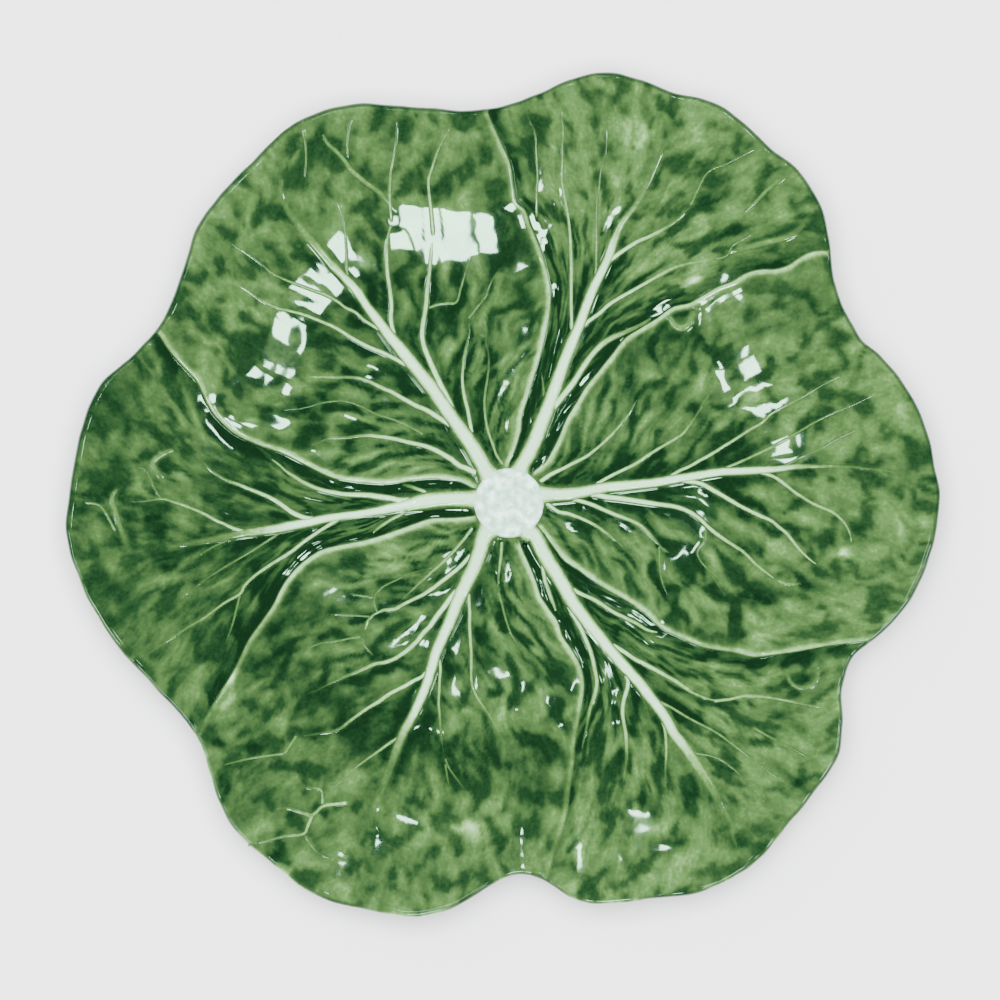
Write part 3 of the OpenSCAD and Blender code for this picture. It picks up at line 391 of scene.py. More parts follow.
# Broad places whose tone is made darker, and lighter ones where the strength is below zero: x, y,
# half width, half height and strength
SHADES = [
    (-119, 26, 13, 20, 0.3), (-122, -29, 9, 13, 0.32), (-88, -35, 26, 32, 0.13),
    (-45, -68, 15, 15, 0.3), (-82, -87, 16, 10, 0.15), (-85, 9, 12, 12, 0.24),
    (-101, 62, 9, 17, 0.18), (50, 3, 28, 12, 0.17), (33, 50, 14, 16, 0.12),
    (-69, 40, 14, 14, 0.12), (3, 80, 14, 20, 0.16), (94, 63, 9, 8, 0.2), (-39, 113, 8, 6, 0.12),
    (-20, -78, 15, 11, 0.16), (9, -84, 9, 9, 0.14), (36, -106, 24, 9, 0.1),
    (64, -75, 14, 10, -0.16), (82, -22, 9, 8, -0.1), (-46, 25, 12, 8, -0.1),
    (14, -58, 9, 12, 0.08), (85, -100, 12, 7, 0.12), (-66, -12, 14, 9, 0.15),
    (62, 14, 12, 9, 0.08), (18, -26, 8, 8, 0.1), (7, 110, 4, 11, 0.25),
]
# Depth of the glaze on each leaf over the distance from the stalk's centre
DEPTH_RADII = [35, 62, 85, 110]
LEAF_DEPTHS = [
    [0, 0, 0.02, -0.03], [-0.03, 0.02, -0.06, 0], [-0.05, 0.02, -0.12, -0.03],
    [-0.05, 0.05, 0, 0.02], [-0.06, -0.1, 0.17, 0.05], [-0.02, -0.04, 0.08, 0.03],
]
# How strongly the glaze varies, and its depth on all leaves, over the same distance
CONTRAST_RADII = [0, 40, 60, 77, 92, 106]
CONTRASTS = [1.15, 1.1, 1.14, 1.36, 1.24, 0.99]
DEPTHS = [0.05, 0.02, 0.015, 0.02, -0.075, -0.085]

# Smooth spots that the light shows in: x, y, half width and half height
CALM_SPOTS = [(37, -96.5, 13, 9), (-23, 82, 14, 9), (-67, 50, 9, 12)]

# Shallow hollows in the leaves: leaf, x, y, half width, half height and depth
HOLLOWS = [(TOP, 25, 99, 24, 13, 0.55), (TOP, 13, 93, 12, 11, 0.7)]


def mix(a, b, share):
    return a + (b - a) * share


def ease(x):
    held = np.clip(x, 0, 1)
    return held * held * (3 - 2 * held)


def ease_over(ramp, x):
    """0 up to the ramp's start, and 1 from its run beyond that."""
    return ease((x - ramp[0]) / ramp[1])


def line(pair, x):
    """A straight line, from its value at zero and its slope."""
    return pair[0] + pair[1] * x


def bell(distance, width, power=2):
    """1 at no distance, falling smoothly away over a width."""
    return np.exp(-(distance / width) ** power)


def spot(x, y, middle_x, middle_y, half_x, half_y, power=1):
    """1 in the middle of an oval, falling smoothly away outside it."""
    away = ((x - middle_x) / half_x) ** 2 + ((y - middle_y) / half_y) ** 2
    return np.exp(-(away**power))


def soft_limit(x, limit):
    """A value from zero up that levels out towards a limit."""
    return limit * (1 - np.exp(-np.maximum(0, x) / limit))


def smooth_lookup(table, x):
    """A smooth curve of y over x through a table's rows."""
    xs, ys = table[:, 0], table[:, 1]
    last = len(xs) - 1
    row = np.clip(np.searchsorted(xs, x, side="right") - 1, 0, last - 1)
    index = np.arange(last + 1)
    before, after = np.maximum(index - 1, 0), np.minimum(index + 1, last)
    slopes = (ys[after] - ys[before]) / (xs[after] - xs[before])
    span = xs[row + 1] - xs[row]
    share = np.clip((x - xs[row]) / span, 0, 1)
    bend = slopes[row] * (1 - share) - slopes[row + 1] * share
    return mix(ys[row], ys[row + 1], ease(share)) + span * share * (1 - share) * bend


# Large numbers that scramble the noise's lattice
SCRAMBLE_X = 73856093
SCRAMBLE_Y = 19349663
SCRAMBLE_SEED = 83492791
SCRAMBLE_ALL = 1274126177
NOISE_GAIN = 1.5


def lattice_angle(ix, iy, seed):
    """A repeatable angle for each lattice point, from 16 well mixed bits."""
    n = ix * SCRAMBLE_X ^ iy * SCRAMBLE_Y ^ seed * SCRAMBLE_SEED
    n = (n ^ (n >> 13)) * SCRAMBLE_ALL & 0x7FFFFFFF
    return ((n ^ (n >> 16)) & 0xFFFF) / 65536 * 2 * math.pi


def noise(x, y, seed):
    """Smooth gradient noise, about -1 to 1, with one feature to a unit or so."""
    ix, iy = np.floor(x).astype(np.int64), np.floor(y).astype(np.int64)
    fx, fy = x - ix, y - iy

    def corner(dx, dy):
        angle = lattice_angle(ix + dx, iy + dy, seed)
        return np.cos(angle) * (fx - dx) + np.sin(angle) * (fy - dy)

    def fade(f):
        return f**3 * (f * (f * 6 - 15) + 10)

    across = fade(fx)
    low = mix(corner(0, 0), corner(1, 0), across)
    high = mix(corner(0, 1), corner(1, 1), across)
    return NOISE_GAIN * mix(low, high, fade(fy))


def grain(u, v, kind, push_u=0, push_v=0):
    """One kind of noise over a place in millimetres; the pushes are shares of its size."""
    size_u, size_v, seed = kind
    return noise(u / size_u + push_u, v / size_v + push_v, seed)


# The visual outline is uneven by up to this much, so many times to a radian
RIPPLE_DEPTH = 0.5
RIPPLE_RATE = 18
RIPPLE_SEED = 5


def rim_table():
    """Outline radius over the bearing, carried on past both ends."""
    polar = sorted((math.degrees(math.atan2(y, x)) % 360, math.hypot(x, y)) for x, y in RIM_POINTS)
    before = [(turn - 360, radius) for turn, radius in polar[-2:]]
    after = [(turn + 360, radius) for turn, radius in polar[:2]]
    return np.array(before + polar + after)


RIM_TABLE = rim_table()


def plain_rim_radius(turn):
    """Radius of the outline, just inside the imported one."""
    return smooth_lookup(RIM_TABLE, np.mod(turn, 360)) - OUTLINE_INSET


def rim_radius(turn):
    """Radius of the visual outline: the plain one, made slightly uneven."""
    around = np.radians(np.mod(turn, 360))
    waves = noise(around * RIPPLE_RATE, np.zeros_like(around), RIPPLE_SEED)
    ripple = RIPPLE_DEPTH / 2 * (1 + waves)
    return plain_rim_radius(turn) - np.clip(ripple, 0, RIPPLE_DEPTH)


def turn_of(x, y):
    """Bearing in degrees, from the cut round to it again."""
    turn = np.degrees(np.arctan2(y, x))
    return np.where(turn < BEARING_CUT, turn + 360, turn)


def reach_of(x, y):
    """Share of the way from the stalk's edge to where the lip's rounding begins."""
    edge = plain_rim_radius(turn_of(x, y)) - LIP_ROUND
    return (np.hypot(x, y) - STALK_R) / (edge - STALK_R)


def held_reach(x, y):
    return np.clip(reach_of(x, y), 0, 1)


def bearing_table(points):
    x, y = np.array(points, float).T
    return np.column_stack([reach_of(x, y), turn_of(x, y)])


SEAM_TABLES = [bearing_table(points) for points in SEAMS]
RIB_TABLES = [bearing_table(points) for points in MIDRIBS]


def seam_turn(seam, t):
    return smooth_lookup(SEAM_TABLES[seam % LEAF_COUNT], t) + 360 * (seam // LEAF_COUNT)


def leaf_side(x, y, leaf, t):
    """Where points lie across their leaf: -1 at its first seam, 0 on its midrib, 1 at its second.
    The value runs past 1 or -1 beyond the seams."""
    turn = turn_of(x, y)
    turn = np.where((leaf == LOWER_LEFT) & (turn < 90), turn + 360, turn)
    side = np.zeros_like(turn)
    for i in range(LEAF_COUNT):
        here = leaf == i
        middle = smooth_lookup(RIB_TABLES[i], t[here])
        first, second = seam_turn(i, t[here]), seam_turn(i + 1, t[here])
        edge = np.where(turn[here] < middle, first, second)
        side[here] = (turn[here] - middle) / np.abs(edge - middle)
    return side


def held_side(x, y, leaf, t):
    return np.clip(leaf_side(x, y, leaf, t), -1, 1)


# Paths: spans of the curve between two given points, fewest points of a path, and the most
# pairs of points that are compared at once
CURVE_STEPS = 8
FEWEST_POINTS = 4
BLOCK_PAIRS = 2_000_000


def smooth_path(points, step):
    """A smooth path through points, as evenly spaced points."""
    p = np.array(points, float)
    p = np.vstack([2 * p[0] - p[1], p, 2 * p[-1] - p[-2]])
    f = np.linspace(0, 1, CURVE_STEPS, endpoint=False)[:, None]
    spans = [
        (2 * b + (c - a) * f + (2 * a - 5 * b + 4 * c - d) * f**2
         + (3 * b - a - 3 * c + d) * f**3) / 2
        for a, b, c, d in zip(p[:-3], p[1:-2], p[2:-1], p[3:])
    ]
    fine = np.vstack(spans + [p[-2]])
    run = np.concatenate([[0], np.cumsum(np.hypot(*np.diff(fine, axis=0).T))])
    even = np.linspace(0, run[-1], max(FEWEST_POINTS, round(run[-1] / step) + 1))
    return np.column_stack([np.interp(even, run, fine[:, 0]), np.interp(even, run, fine[:, 1])])


def near_path(path, x, y, limit):
    """Which points lie within a limit of a path, how far off it, and how far along, 0 to 1."""
    low, high = path.min(0) - limit, path.max(0) + limit
    found = np.nonzero((x > low[0]) & (x < high[0]) & (y > low[1]) & (y < high[1]))[0]
    start, step = path[:-1], np.diff(path, axis=0)
    square = (step**2).sum(1)
    gaps, places = [], []
    for block in np.array_split(found, found.size * len(step) // BLOCK_PAIRS + 1):
        dx = x[block, None] - start[:, 0]
        dy = y[block, None] - start[:, 1]
        share = np.clip((dx * step[:, 0] + dy * step[:, 1]) / square, 0, 1)
        away = np.hypot(dx - share * step[:, 0], dy - share * step[:, 1])
        best = away.argmin(1)
        row = np.arange(block.size)
        gaps.append(away[row, best])
        places.append((best + share[row, best]) / len(step))
    gap, place = np.concatenate(gaps), np.concatenate(places)
    close = gap < limit
    return found[close], gap[close], place[close]


# Spacing of the points of paths: ribs as built, ribs as the glaze looks for them, and seams
PATH_STEP = 0.8
ROUGH_STEP = 2.0
SEAM_STEP = 1.2

# Pairs in what follows: a ramp has its start and its run, for ease_over, and a line has its
# value at zero and its slope, for line

# Midribs: start as a share of the stalk's radius, tone, what their tips add to it and the ramp
# for that, and how far they melt into the leaf's tone
MIDRIB_START = 0.86
MIDRIB_TONE = 0.05
MIDRIB_TIP_TONE, MIDRIB_TIP = 0.3, (0.6, 0.4)
MIDRIB_MELT = 0.6

# Side veins that start within reach of the midrib, and this far from the stalk's centre, are
# grown out of it, from farther back the farther off they start. Others start free. The runs
# are the lengths over which their roots rise
ROOT_REACH = 6.5
ROOT_FROM = 14.5
ROOT_BACK = (1.5, 2.0)
GROWN_ROOT_RUN = 0.1
FREE_ROOT_RUN = 1.2
# Tone of a side vein over its width at the root; then, over its fading, the tone it gains and
# how far it melts; and how much narrower its last part gets, with the ramp for that
VEIN_ROOTS = [0.7, 0.9, 1.15, 1.5, 2.4]
VEIN_TONES = [0.31, 0.23, 0.14, 0.09, 0.07]
VEIN_TIP_TONE = (0.05, 0.22)
VEIN_MELT, VEIN_FADING = 0.85, (0.06, 0.16)
VEIN_TAPER, VEIN_TIP = 0.5, (0.7, 0.3)

# Curls: share of the width at the ends and what the middle adds, how bluntly they end, tone
# gained at the ends, rise, melting and the length of their roots
CURL_WIDTH = (0.35, 0.65)
CURL_SWELL_POWER = 0.5
CURL_END_TONE = 0.2
CURL_RISE = 0.3
CURL_MELT = 0.5
CURL_ROOT_RUN = 4.0


def from_stalk(points):
    """A midrib's points, begun under the stalk's edge."""
    start = np.array(points[0], float)
    return [tuple(start * MIDRIB_START * STALK_R / np.hypot(*start))] + points


MIDRIBS = [from_stalk(points) for points in MIDRIBS]
MIDRIB_PATHS = [smooth_path(points, PATH_STEP) for points in MIDRIBS]
SEAM_PATHS = [smooth_path(points, SEAM_STEP) for points in SEAMS]


class Rib:
    """A midrib, side vein or curl: its path, its width and tone along it, its rise as a share of
    its width, the share of its own tone that it loses to the leaf's by its tip, and the length
    over which its root grows out."""

    def __init__(self, leaf, points, width_at, tone_at, rise, melt, root_run, is_midrib=False):
        self.leaf = leaf
        self.path = smooth_path(points, PATH_STEP)
        self.rough = smooth_path(points, ROUGH_STEP)
        self.width_at = width_at
        self.tone_at = tone_at
        self.rise = rise
        self.melt = melt
        self.root_run = root_run
        self.is_midrib = is_midrib


def make_midrib(leaf):
    radii = np.hypot(*MIDRIB_PATHS[leaf].T)
    places = np.linspace(0, 1, len(radii))
    table = np.array(MIDRIB_WIDTHS[leaf])

    def width_at(place):
        return np.interp(np.interp(place, places, radii), table[:, 0], table[:, 1])

    def tone_at(place):
        return MIDRIB_TONE + MIDRIB_TIP_TONE * ease_over(MIDRIB_TIP, place)

    return Rib(leaf, MIDRIBS[leaf], width_at, tone_at, RIB_RISE, MIDRIB_MELT, GROWN_ROOT_RUN, True)


def rooted(leaf, points):
    """A side vein's points, begun inside its midrib where they start close beside it."""
    start = np.array(points[0], float)
    away = np.hypot(*(MIDRIB_PATHS[leaf] - start).T)
    nearest = away.argmin()
    if away[nearest] > ROOT_REACH or np.hypot(*start) < ROOT_FROM:
        return points
    back = max(0, nearest - round(line(ROOT_BACK, away[nearest]) / PATH_STEP))
    return [tuple(MIDRIB_PATHS[leaf][back])] + points


def make_vein(leaf, row):
    root, tip, fade, drawn = row
    points = rooted(leaf, drawn)
    starts_free = points is drawn and np.hypot(*drawn[0]) > ROOT_FROM
    root_run = FREE_ROOT_RUN if starts_free else GROWN_ROOT_RUN
    pale = np.interp(root, VEIN_ROOTS, VEIN_TONES)
    melt = VEIN_MELT * ease_over(VEIN_FADING, fade)

    def width_at(place):
        return mix(root, tip, place) * (1 - VEIN_TAPER * ease_over(VEIN_TIP, place))

    def tone_at(place):
        return pale + line(VEIN_TIP_TONE, fade) * ease(place)

    return Rib(leaf, points, width_at, tone_at, VEIN_RISE, melt, root_run)


def make_curl(leaf, width, tone, points):
    def swell(place):
        return np.sin(math.pi * np.clip(place, 0, 1)) ** CURL_SWELL_POWER

    def width_at(place):
        return width * line(CURL_WIDTH, swell(place))

    def tone_at(place):
        return tone + CURL_END_TONE * (1 - swell(place))

    return Rib(leaf, points, width_at, tone_at, CURL_RISE, CURL_MELT, CURL_ROOT_RUN)


RIBS = [make_midrib(leaf) for leaf in range(LEAF_COUNT)]
RIBS += [make_vein(leaf, row) for leaf in range(LEAF_COUNT) for row in VEINS[leaf]]
RIBS += [make_curl(*row) for row in CURLS]

# Form of a leaf: its growth out of the well, the skew of its belly, the lift of an upper leaf's
# edges, the tuck of a lower leaf's, its tip's droop, and heights of the waves and blisters
GROWTH = (0.01, 0.15)
BELLY_SKEW = 1.2
EDGE_LIFT, EDGE_LIFT_POWER = 0.35, 5
EDGE_TUCK, EDGE_TUCK_POWER = 0.2, 4
DROOP = (0.45, 0.55)
WAVE_H, BLISTER_H = 0.2, 0.03

# Growth of a leaf half: its run over the distance from the stalk's centre, its spread to the
# sides, its closeness, and the shifts that set the pattern of one half apart from the next
FLOW_RADII = [0, 50, 80, 135]
FLOW_RUNS = [0, 50, 68, 84]
FLOW_SPREAD = 60
FLOW_CLOSENESS = 0.42
FLOW_SHIFTS = (37.3, 11.7)

# Kinds of noise: size across the growth or over x, size along it or over y, and seed
WIDE = (13, 9, 3)
SWIRL_U, SWIRL_V = (10, 10, 31), (10, 10, 37)
WAVER_U, WAVER_V = (4.2, 4.2, 33), (4.2, 4.2, 39)
STREAK = (7.6, 4.4, 7)
FINE = (3.8, 2.5, 11)
FINEST = (2.1, 1.7, 13)
BLISTER = (5.4, 5.4, 17)
CRUMPLE = (7.5, 4.6, 19)
BESIDE_RIBS = (4.1, 4.3, 23)
HAIR = (5.2, 11, 29)
CLOUD = (24, 24, 41)
PATCH = (9.5, 9.5, 43)
SPECK = (3.4, 3.4, 47)

# Where the inner part of the plate gives way to the outer part
OUTER_PART = (50, 50)
# How far swirls and wavers bend the streaks across and along the growth, and the shares of that
# kept outside and by the fine noises; how far one noise pushes another aside; sharpness of the
# crumples and hairs
SWIRL_BENDS, WAVER_BENDS = (4.6, 2.2), (0.9, 0.6)
OUTER_BEND, FINE_BEND = 0.8, 0.7
BLISTER_PUSH, PATCH_PUSH, SPECK_PUSH = 0.8, 0.6, 0.5
CRUMPLE_SHARPNESS, HAIR_SHARPNESS = 2.3, 5
# Shares of the noises in the blotches. Names that end in SHARES, TONES, RUNS and ROOMS, here
# and down to the seams, are pairs for the outer part and the inner part
STREAK_SHARES, FINE_SHARES = (0.56, 0.74), (0.42, 0.5)
FINEST_SHARES, BLISTER_SHARES = (0.16, 0.18), (0.28, 0.2)
WIDE_SHARE, PATCH_SHARE, SPECK_SHARE = 0.2, 0.3, 0.14


def flow_of(x, y, leaf, side):
    """Coordinates across and along the growth of a leaf half, for streaks of glaze."""
    r = np.hypot(x, y)
    half = leaf * 2 + (side > 0)
    across = np.interp(r, FLOW_RADII, FLOW_RUNS) - FLOW_SPREAD * np.abs(side)
    return across + FLOW_SHIFTS[0] * half, FLOW_CLOSENESS * r + FLOW_SHIFTS[1] * half


class GlazeNoises:
    """The noises that break up the glaze at points of a leaf. Blotches are dark above zero."""

    def __init__(self, x, y, leaf, side):
        inner = 1 - ease_over(OUTER_PART, np.hypot(x, y))
        bend = mix(OUTER_BEND, 1, inner)
        flow_u, flow_v = flow_of(x, y, leaf, side)
        swirl_u, swirl_v = grain(x, y, SWIRL_U), grain(x, y, SWIRL_V)
        bend_u = SWIRL_BENDS[0] * swirl_u + WAVER_BENDS[0] * grain(x, y, WAVER_U)
        bend_v = SWIRL_BENDS[1] * swirl_v + WAVER_BENDS[1] * grain(x, y, WAVER_V)
        bent_u, bent_v = flow_u + bend * bend_u, flow_v + bend * bend_v
        fine_u, fine_v = mix(flow_u, bent_u, FINE_BEND), mix(flow_v, bent_v, FINE_BEND)
        streak = grain(bent_u, bent_v, STREAK)
        fine, finest = grain(fine_u, fine_v, FINE), grain(fine_u, fine_v, FINEST)
        blister = grain(x, y, BLISTER, BLISTER_PUSH * streak, BLISTER_PUSH * fine)
        patch = grain(x, y, PATCH, PATCH_PUSH * swirl_v, PATCH_PUSH * swirl_u)
        speck = grain(x, y, SPECK, SPECK_PUSH * streak, SPECK_PUSH * fine)
        wide = grain(flow_u, flow_v, WIDE)
        blotch = mix(*STREAK_SHARES, inner) * streak + mix(*FINE_SHARES, inner) * fine
        blotch += (
            mix(*FINEST_SHARES, inner) * finest + mix(*BLISTER_SHARES, inner) * blister
            + WIDE_SHARE * wide
        )
        blotch += (1 - inner) * (PATCH_SHARE * patch + SPECK_SHARE * speck)
        self.inner, self.wide, self.blister, self.blotch = inner, wide, blister, blotch
        self.swirl = swirl_u
        self.crumple = 1 - ease(CRUMPLE_SHARPNESS * np.abs(grain(bent_u, bent_v, CRUMPLE)))
        self.hair = 1 - np.minimum(1, HAIR_SHARPNESS * np.abs(grain(flow_u, flow_v, HAIR)))
        self.beside_ribs = grain(bent_u, bent_v, BESIDE_RIBS)


def bowl_height(t):
    return mix(WELL_H, RIM_H, smooth_lookup(BOWL_PROFILE, t))


def droop(t, side):
    return -TIP_DROOP * ease_over(DROOP, t) * (1 - side * side)


def calm_at(x, y):
    """Share of the small relief that is kept: less of it where the gloss lies smooth."""
    calm = np.ones_like(x)
    for place in CALM_SPOTS:
        calm *= 1 - spot(x, y, *place, power=2)
    return calm


def leaf_form(x, y, leaf, t, side, grow, noises):
    """Height of a leaf without what lies along its ribs and seams."""
    across = np.abs(side)
    lift, tuck = EDGE_LIFT * across**EDGE_LIFT_POWER, -EDGE_TUCK * across**EDGE_TUCK_POWER
    edge = np.where(np.array(LEAF_ON_TOP)[leaf], lift, tuck)
    height = bowl_height(t) + droop(t, side)
    height += grow * (edge + LEAF_BELLY * np.sin(math.pi * across**BELLY_SKEW))
    height += grow * calm_at(x, y) * (WAVE_H * noises.wide - BLISTER_H * noises.blister)
    for owner, *place, depth in HOLLOWS:
        height -= depth * spot(x, y, *place) * (leaf == owner)
    return height


# Tone of the glaze between the ribs: its middle, what clouds, blotches and the steps between
# them, crumples and hairs add, and the knees beyond which it levels out within some room
MIDDLE_TONE = 0.44
CLOUD_TONE = 0.1
BLOTCH_TONES = (0.44, 0.52)
STEP_TONES, STEP_START, STEP_RUNS = (0.19, 0.24), 0.05, (0.27, 0.3)
CRUMPLE_TONE = 0.06
HAIR_TONE, HAIR_GROWTH = 0.16, (0.5, 1.5)
SHADE_POWER = 1.5
PALE_KNEE, PALE_ROOM = 0.42, 0.24
DARK_KNEE, DARK_ROOMS = 0.6, (0.27, 0.42)


def open_tone(x, y, leaf, noises):
    """Tone of the glaze between the ribs and seams."""
    r = np.hypot(x, y)
    inner, blotch = noises.inner, noises.blotch
    contrast = np.interp(r, CONTRAST_RADII, CONTRASTS)
    step = ease_over((STEP_START, mix(*STEP_RUNS, inner)), blotch)
    hair = HAIR_TONE * noises.hair * (1 - inner) * ease(line(HAIR_GROWTH, noises.swirl))
    tone = MIDDLE_TONE + np.interp(r, CONTRAST_RADII, DEPTHS) + CLOUD_TONE * grain(x, y, CLOUD)
    for owner, depths in enumerate(LEAF_DEPTHS):
        tone += np.interp(r, DEPTH_RADII, depths) * (leaf == owner)
    tone += contrast * mix(*BLOTCH_TONES, inner) * blotch
    tone += contrast * mix(*STEP_TONES, inner) * step
    tone += CRUMPLE_TONE * inner * noises.crumple + hair
    for *place, strength in SHADES:
        tone += strength * spot(x, y, *place, power=SHADE_POWER)
    pale = PALE_KNEE - soft_limit(PALE_KNEE - tone, PALE_ROOM)
    tone = np.where(tone < PALE_KNEE, pale, tone)
    dark = DARK_KNEE + soft_limit(tone - DARK_KNEE, mix(*DARK_ROOMS, inner))
    return np.where(tone > DARK_KNEE, dark, tone)


# Glaze beside a rib: how far ribs are looked for, where the dark pool begins, the width and
# strength of the pool and of the pale fringe over the rib's width, the pool's depth and tones,
# its patchiness, which is weaker near the stalk, and the fringe's tone and share
MIDRIB_REACH, VEIN_REACH = 9.0, 6.0
POOL_START = 1
POOL_WIDTH, POOL_STRENGTH = (0.9, 0.55), (-0.05, 0.42)
FRINGE_WIDTH, FRINGE_STRENGTH = (0.32, 0.05), 0.55
POOL_H, POOL_TONES = 0.26, (0.24, 0.52)
POOL_PATCHINESS = (0.7, 0.5)
INNER_POOL, INNER_POOL_SHARE = 0.85, 0.5
FRINGE_TONE, FRINGE_SHARE = 0.34, 0.5


def beside_ribs(x, y, leaf):
    """Strength of the dark pools and of the pale fringes beside a leaf's ribs."""
    pool, fringe = np.zeros_like(x), np.zeros_like(x)
    for rib in RIBS:
        limit = MIDRIB_REACH if rib.is_midrib else VEIN_REACH
        found, gap, place = near_path(rib.rough, x, y, limit)
        mine = leaf[found] == rib.leaf
        found, gap, place = found[mine], gap[mine], place[mine]
        width = rib.width_at(place)
        beside = np.maximum(0, gap - width / 2)
        deep = bell(np.maximum(0, beside - POOL_START), line(POOL_WIDTH, width))
        deep *= np.clip(line(POOL_STRENGTH, width), 0, 1)
        pool[found] = np.maximum(pool[found], deep)
        pale = bell(beside, line(FRINGE_WIDTH, width))
        pale *= np.clip(FRINGE_STRENGTH * width, 0, 1)
        fringe[found] = np.maximum(fringe[found], pale)
    return pool, fringe


# Seams: how far they are looked for, where they come up beside the stalk, and height and width
# of the upper leaf's raised edge, of the groove at its foot and of the lower leaf's hollow
SEAM_REACH = 9.0
SEAM_START = (11, 12)
RAISED_H, RAISED_WIDTH = 0.34, 2.6
GROOVE_H, GROOVE_WIDTH = 0.35, 0.9
HOLLOW_H, HOLLOW_WIDTH = 0.3, 2.8
# Glaze by a seam: tone, cover over the seam's paleness, most cover and width of the soft pale band
# and of the bright edge, the patchiness of the dark beside it, which is partly pooled glaze and
# partly painted shade, and the power of sharp bells
BAND_TONE, BAND_COVER, BAND_LIMIT, BAND_WIDTH = 0.35, 1.8, 0.8, (2, 2.6)
BAND_UNEVENNESS = 0.4
BRIGHT_TONE, BRIGHT_COVER, BRIGHT_LIMIT, BRIGHT_WIDTH = 0.1, 2.3, 0.95, (1.2, 0.9)
DARK_PATCHINESS = (0.7, 0.45)
SHARP_BELL = 4


def add_seams(x, y, leaf, height, tone, wide, patchy):
    """Work the steps at the seams, and the glaze and painted shade beside them, into the height and
    tone.
    """
    r = np.hypot(x, y)
    for seam, path in enumerate(SEAM_PATHS):
        found, gap, place = near_path(path, x, y, SEAM_REACH)
        places, whites, darks, runs = np.array(SEAM_TONES[seam]).T
        for owner in (seam, (seam - 1) % LEAF_COUNT):
            mine = leaf[found] == owner
            f, d, p = found[mine], gap[mine], place[mine]
            hub = ease_over(SEAM_START, r[f])
            if LEAF_ON_TOP[owner]:
                height[f] += hub * RAISED_H * bell(d, RAISED_WIDTH)
                height[f] -= hub * GROOVE_H * np.clip(1 - d / GROOVE_WIDTH, 0, 1) ** 2
                white = np.interp(p, places, whites)
                uneven = np.clip(wide[f] + BAND_UNEVENNESS, 0, 1)
                band = np.clip(BAND_COVER * white, 0, BAND_LIMIT)
                tone[f] = mix(tone[f], BAND_TONE, band * bell(d, line(BAND_WIDTH, uneven)))
                bright = np.clip(BRIGHT_COVER * white, 0, BRIGHT_LIMIT)
                bright *= bell(d, line(BRIGHT_WIDTH, white), SHARP_BELL)
                tone[f] = mix(tone[f], BRIGHT_TONE, bright)
            else:
                height[f] -= hub * HOLLOW_H * bell(d, HOLLOW_WIDTH)
                # Darker tone on the lower leaf beside the seam: partly pooled glaze, partly painted
                # shade under the upper leaf's edge
                dark = np.interp(p, places, darks) * line(DARK_PATCHINESS, patchy[f])
                tone[f] += dark * bell(d, np.interp(p, places, runs), SHARP_BELL)


# Sink of a pool of glaze over its strength, the glaze by the stalk, and the palest tone
POOL_SINK = 0.5
STALK_EDGE_TONE, STALK_EDGE_SHARE, STALK_EDGE_WIDTH = 0.28, 0.8, 0.8
PALEST = 0.02


def lamina(x, y, leaf):
    """Height of a leaf's surface in millimetres, and the tone of its glaze: 0 white, 0.4 light
    green, 1 the darkest pools."""
    t = held_reach(x, y)
    side = held_side(x, y, leaf, t)
    grow = ease_over(GROWTH, t)
    noises = GlazeNoises(x, y, leaf, side)
    inner = noises.inner
    height = leaf_form(x, y, leaf, t, side, grow, noises)
    tone = open_tone(x, y, leaf, noises)

    pool, fringe = beside_ribs(x, y, leaf)
    patchy = line(POOL_PATCHINESS, noises.beside_ribs)
    height -= POOL_H * grow * pool
    tone += mix(*POOL_TONES, inner) * pool * mix(patchy, INNER_POOL, INNER_POOL_SHARE * inner)
    tone = mix(tone, FRINGE_TONE, FRINGE_SHARE * fringe)
    add_seams(x, y, leaf, height, tone, noises.wide, patchy)

    for owner, rows in POOLS.items():
        for middle_x, middle_y, half_length, half_width, angle, strength in rows:
            c, s = math.cos(math.radians(angle)), math.sin(math.radians(angle))
            dx, dy = x - middle_x, y - middle_y
            u, v = (dx * c + dy * s) / half_length, (dy * c - dx * s) / half_width
            pooled = strength * np.exp(-(u * u + v * v)) * (leaf == owner)
            tone += pooled
            height -= POOL_SINK * pooled

    by_stalk = bell(np.maximum(0, np.hypot(x, y) - STALK_R), STALK_EDGE_WIDTH)
    tone = mix(tone, STALK_EDGE_TONE, STALK_EDGE_SHARE * by_stalk)
    return np.minimum(height, TOP_LIMIT), np.clip(tone, PALEST, 1)


def add_object(name, data):
    thing = bpy.data.objects.new(name, data)
    bpy.context.scene.collection.objects.link(thing)
    return thing


def mesh_piece(name, points, faces, tones, flows, material, slot, node):
    """A visible piece from points in millimetres from the stalk's centre, riding on the plate."""
    points = np.array(points, float)
    points[:, 0] += STALK_X
    points[:, 1] += STALK_Y
    mesh = bpy.data.meshes.new(name)
    mesh.from_pydata((points * MM).tolist(), [], faces)
    mesh.validate()
    mesh.shade_smooth()
    tone_layer = mesh.attributes.new("glaze", "FLOAT", "POINT")
    tone_layer.data.foreach_set("value", np.array(tones, np.float32))
    flow_layer = mesh.attributes.new("flow", "FLOAT_VECTOR", "POINT")
    flow_layer.data.foreach_set("vector", np.array(flows, np.float32).ravel())
    mesh.materials.append(material)
    piece = add_object(name, mesh)
    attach(piece, "root")
    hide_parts(node)


